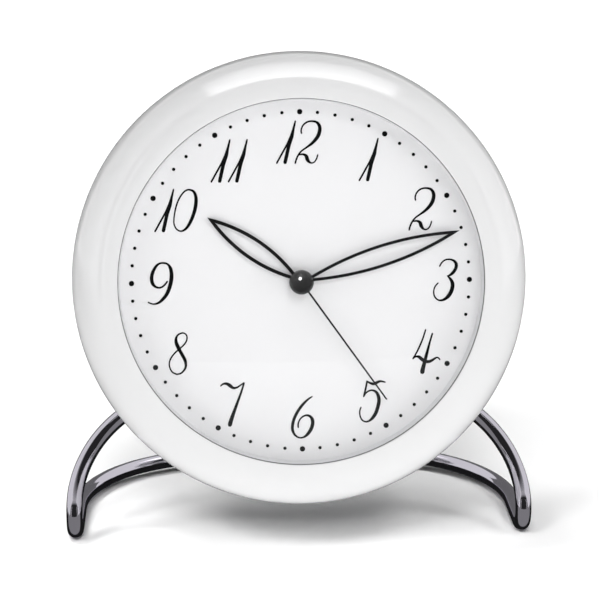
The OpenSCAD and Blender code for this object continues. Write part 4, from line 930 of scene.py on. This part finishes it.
def upright(start, end, low, high):
    """Corners of an upright card over a line on the floor."""
    return (*start, low), (*end, low), (*end, high), (*start, high)


def level(near, far, height):
    """Corners of a level card between two opposite corners."""
    return (*near, height), (far[0], near[1], height), (*far, height), (near[0], far[1], height)


# Cards that only reflections see: the room that the photograph's gloss shows. Name, corners in metres,
# brightness, and the axis, span and share left of a fade.
CARDS = (
    ("front_room_card", upright((-1.7, -1.1), (1.7, -1.1), 0.0, 2.6), 0.03, ("Z", 1.5, 2.6, 22.0)),
    ("left_strip_card", upright((-0.74, -0.86), (-0.80, -0.80), 0.0, 0.9), 1.1, None),
    ("right_strip_card", upright((0.74, -0.86), (0.80, -0.80), 0.0, 0.9), 1.1, None),
    ("grey_floor_card", level((-1.7, -1.1), (1.7, 0.6), 0.0004), 0.32, None),
    # Near-black sheet under the clock: painted shade that the rod's reflections show in place of the floor
    # there
    ("under_floor_card", level((-0.11, -0.02), (0.11, 0.16), 0.0008), 0.015, None),
    ("back_room_card", upright((-0.7, 0.6), (0.7, 0.6), 0.0, 0.45), 0.2, None),
)
OVERHEAD = ((-0.19, -0.195, 0.52), (0.245, -0.195, 0.52), (0.29, 0.15, 0.52), (-0.236, 0.15, 0.52))
OVERHEAD_FADE = ("Y", -0.195, 0.15, 0.35)


class CLOCK_OT_stage(bpy.types.Operator):
    """Sets up the camera, the pale floor, the soft lamps and the cards that only the gloss shows"""

    bl_idname = "clock.stage"
    bl_label = "Studio"

    def execute(self, context):
        stage = context.scene.clock_stage
        self.camera(context, stage)
        self.world(context, stage)
        self.floor()
        self.lamps(stage)
        self.cards(stage)
        return {"FINISHED"}

    def camera(self, context, stage):
        data = bpy.data.cameras.new("clock_camera")
        data.lens = stage.focal
        data.sensor_width = 36.0
        camera = bpy.data.objects.new("clock_camera", data)
        place, target = Vector(stage.camera_place), Vector(stage.camera_target)
        camera.location = place
        camera.rotation_mode = "QUATERNION"
        camera.rotation_quaternion = (target - place).to_track_quat("-Z", "Y")
        data.clip_start, data.clip_end = 0.01, 20.0
        context.scene.collection.objects.link(camera)
        context.scene.camera = camera
        context.scene.view_settings.view_transform = "Standard"

    def world(self, context, stage):
        """White to the eye, to metal and to glass, and dim as light on the pieces."""
        world = bpy.data.worlds.new("clock_world")
        world.use_nodes = True
        tree = world.node_tree
        back = tree.nodes["Background"]
        path = add_node(tree, "ShaderNodeLightPath")
        shown = path.outputs["Is Camera Ray"]
        for kind in ("Is Glossy Ray", "Is Transmission Ray"):
            either = add_node(tree, "ShaderNodeMath", operation="MAXIMUM")
            tree.links.new(shown, either.inputs[0])
            tree.links.new(path.outputs[kind], either.inputs[1])
            shown = either.outputs["Value"]
        strength = remap(tree, shown, 0.0, 1.0, stage.ambient, 1.0)
        back.inputs["Color"].default_value = (1.0, 1.0, 1.0, 1.0)
        tree.links.new(strength, back.inputs["Strength"])
        context.scene.world = world

    def floor(self):
        bm = bmesh.new()
        bmesh.ops.create_grid(bm, x_segments=8, y_segments=8, size=FLOOR_HALF)
        floor = object_from("studio_floor", bm)
        floor.data.materials.append(finish("floor_paint"))

    def lamp(self, name, kind, place, power, lit, blocking=None):
        """A lamp that points at the clock, lights one collection and is shaded by one, or by all."""
        data = bpy.data.lights.new(name, kind)
        data.energy = power
        lamp = bpy.data.objects.new(name, data)
        lamp.location = place
        lamp.rotation_mode = "QUATERNION"
        lamp.rotation_quaternion = (CASE.translation - Vector(place)).to_track_quat("-Z", "Y")
        lamp.visible_glossy = False
        lamp.visible_transmission = False
        bpy.context.scene.collection.objects.link(lamp)
        lamp.light_linking.receiver_collection = lit
        lamp.light_linking.blocker_collection = blocking
        return lamp

    def lamps(self, stage):
        """Suns for the floor and its shadow, a softer set for the clock, and one lamp for the ball."""
        ground = bpy.data.collections.new("lit_floor")
        ground.objects.link(bpy.data.objects["studio_floor"])
        pieces = bpy.data.collections.new("lit_pieces")
        for piece in bpy.context.scene.objects:
            if piece.type == "MESH" and not piece.name.startswith("studio"):
                pieces.objects.link(piece)
        for i, (turn, height, share) in enumerate(FLOOR_SUNS):
            turn, height = math.radians(turn), math.radians(height)
            way = Vector((math.sin(turn), -math.cos(turn), math.tan(height)))
            sun = self.lamp(f"floor_sun_{i}", "SUN", CASE.translation + way,
                            stage.sun * share / math.sin(height), ground)
            sun.data.angle = FLOOR_SUN_WIDTH
        key = self.lamp("key_sun", "SUN", KEY_PLACE, stage.key, pieces, pieces)
        key.data.angle = KEY_WIDTH
        for name, place, wide, power in FILLS:
            fill = self.lamp(name, "AREA", place, getattr(stage, power), pieces, pieces)
            fill.data.size = wide
        ball = bpy.data.collections.new("lit_ball")
        ball.objects.link(bpy.data.objects["gloss_ball"])
        spark = self.lamp("ball_spark", "AREA", SPARK_PLACE, stage.spark, ball, ball)
        spark.data.shape = "DISK"
        spark.data.size = SPARK_WIDTH
        spark.visible_glossy = True
        spark.visible_transmission = True

    def card(self, name, corners, light, fade):
        """A flat card that only reflections see."""
        bm = bmesh.new()
        bm.faces.new([bm.verts.new(c) for c in corners])
        card = object_from(name, bm)
        made = bpy.data.materials.new(name)
        made.use_nodes = True
        tree = made.node_tree
        tree.nodes.remove(tree.nodes["Principled BSDF"])
        glow = add_node(tree, "ShaderNodeEmission")
        glow.inputs["Strength"].default_value = light
        if fade:
            axis, start, end, left = fade
            place = add_node(tree, "ShaderNodeTexCoord")
            split = add_node(tree, "ShaderNodeSeparateXYZ")
            tree.links.new(place.outputs["Object"], split.inputs["Vector"])
            faded = remap(tree, split.outputs[axis], start, end, light, left * light)
            tree.links.new(faded, glow.inputs["Strength"])
        tree.links.new(glow.outputs["Emission"], tree.nodes["Material Output"].inputs["Surface"])
        card.data.materials.append(made)
        card.visible_camera = False
        card.visible_diffuse = False
        card.visible_shadow = False

    def cards(self, stage):
        """Softbox overhead, and the dim room and floor that the photograph's gloss shows."""
        self.card("overhead_card", OVERHEAD, stage.card, OVERHEAD_FADE)
        for row in CARDS:
            self.card(*row)


class CLOCK_PT_build(bpy.types.Panel):
    bl_idname = "CLOCK_PT_build"
    bl_label = "Table clock"
    bl_space_type = "VIEW_3D"
    bl_region_type = "UI"
    bl_category = "Clock"

    def draw(self, context):
        for kind in OPERATORS:
            self.layout.operator(kind.bl_idname)
        for kind, name in GROUPS:
            box = self.layout.box()
            for key in kind.__annotations__:
                box.prop(getattr(context.scene, name), key)


OPERATORS = (
    CLOCK_OT_case_ring,
    CLOCK_OT_front_lens,
    CLOCK_OT_dial,
    CLOCK_OT_hands,
    CLOCK_OT_centre_ball,
    CLOCK_OT_stand,
    CLOCK_OT_inner_finishes,
    CLOCK_OT_stage,
)


def register():
    for kind, name in GROUPS:
        bpy.utils.register_class(kind)
        setattr(bpy.types.Scene, name, PointerProperty(type=kind))
    for kind in (*OPERATORS, CLOCK_PT_build):
        bpy.utils.register_class(kind)


def unregister():
    for kind in (CLOCK_PT_build, *reversed(OPERATORS)):
        bpy.utils.unregister_class(kind)
    for kind, name in reversed(GROUPS):
        delattr(bpy.types.Scene, name)
        bpy.utils.unregister_class(kind)


def main():
    register()
    bpy.ops.clock.case_ring()
    bpy.ops.clock.front_lens()
    bpy.ops.clock.dial()
    bpy.ops.clock.hands()
    bpy.ops.clock.centre_ball()
    bpy.ops.clock.stand()
    bpy.ops.clock.inner_finishes()
    bpy.ops.clock.stage()


if __name__ == "__main__":
    main()
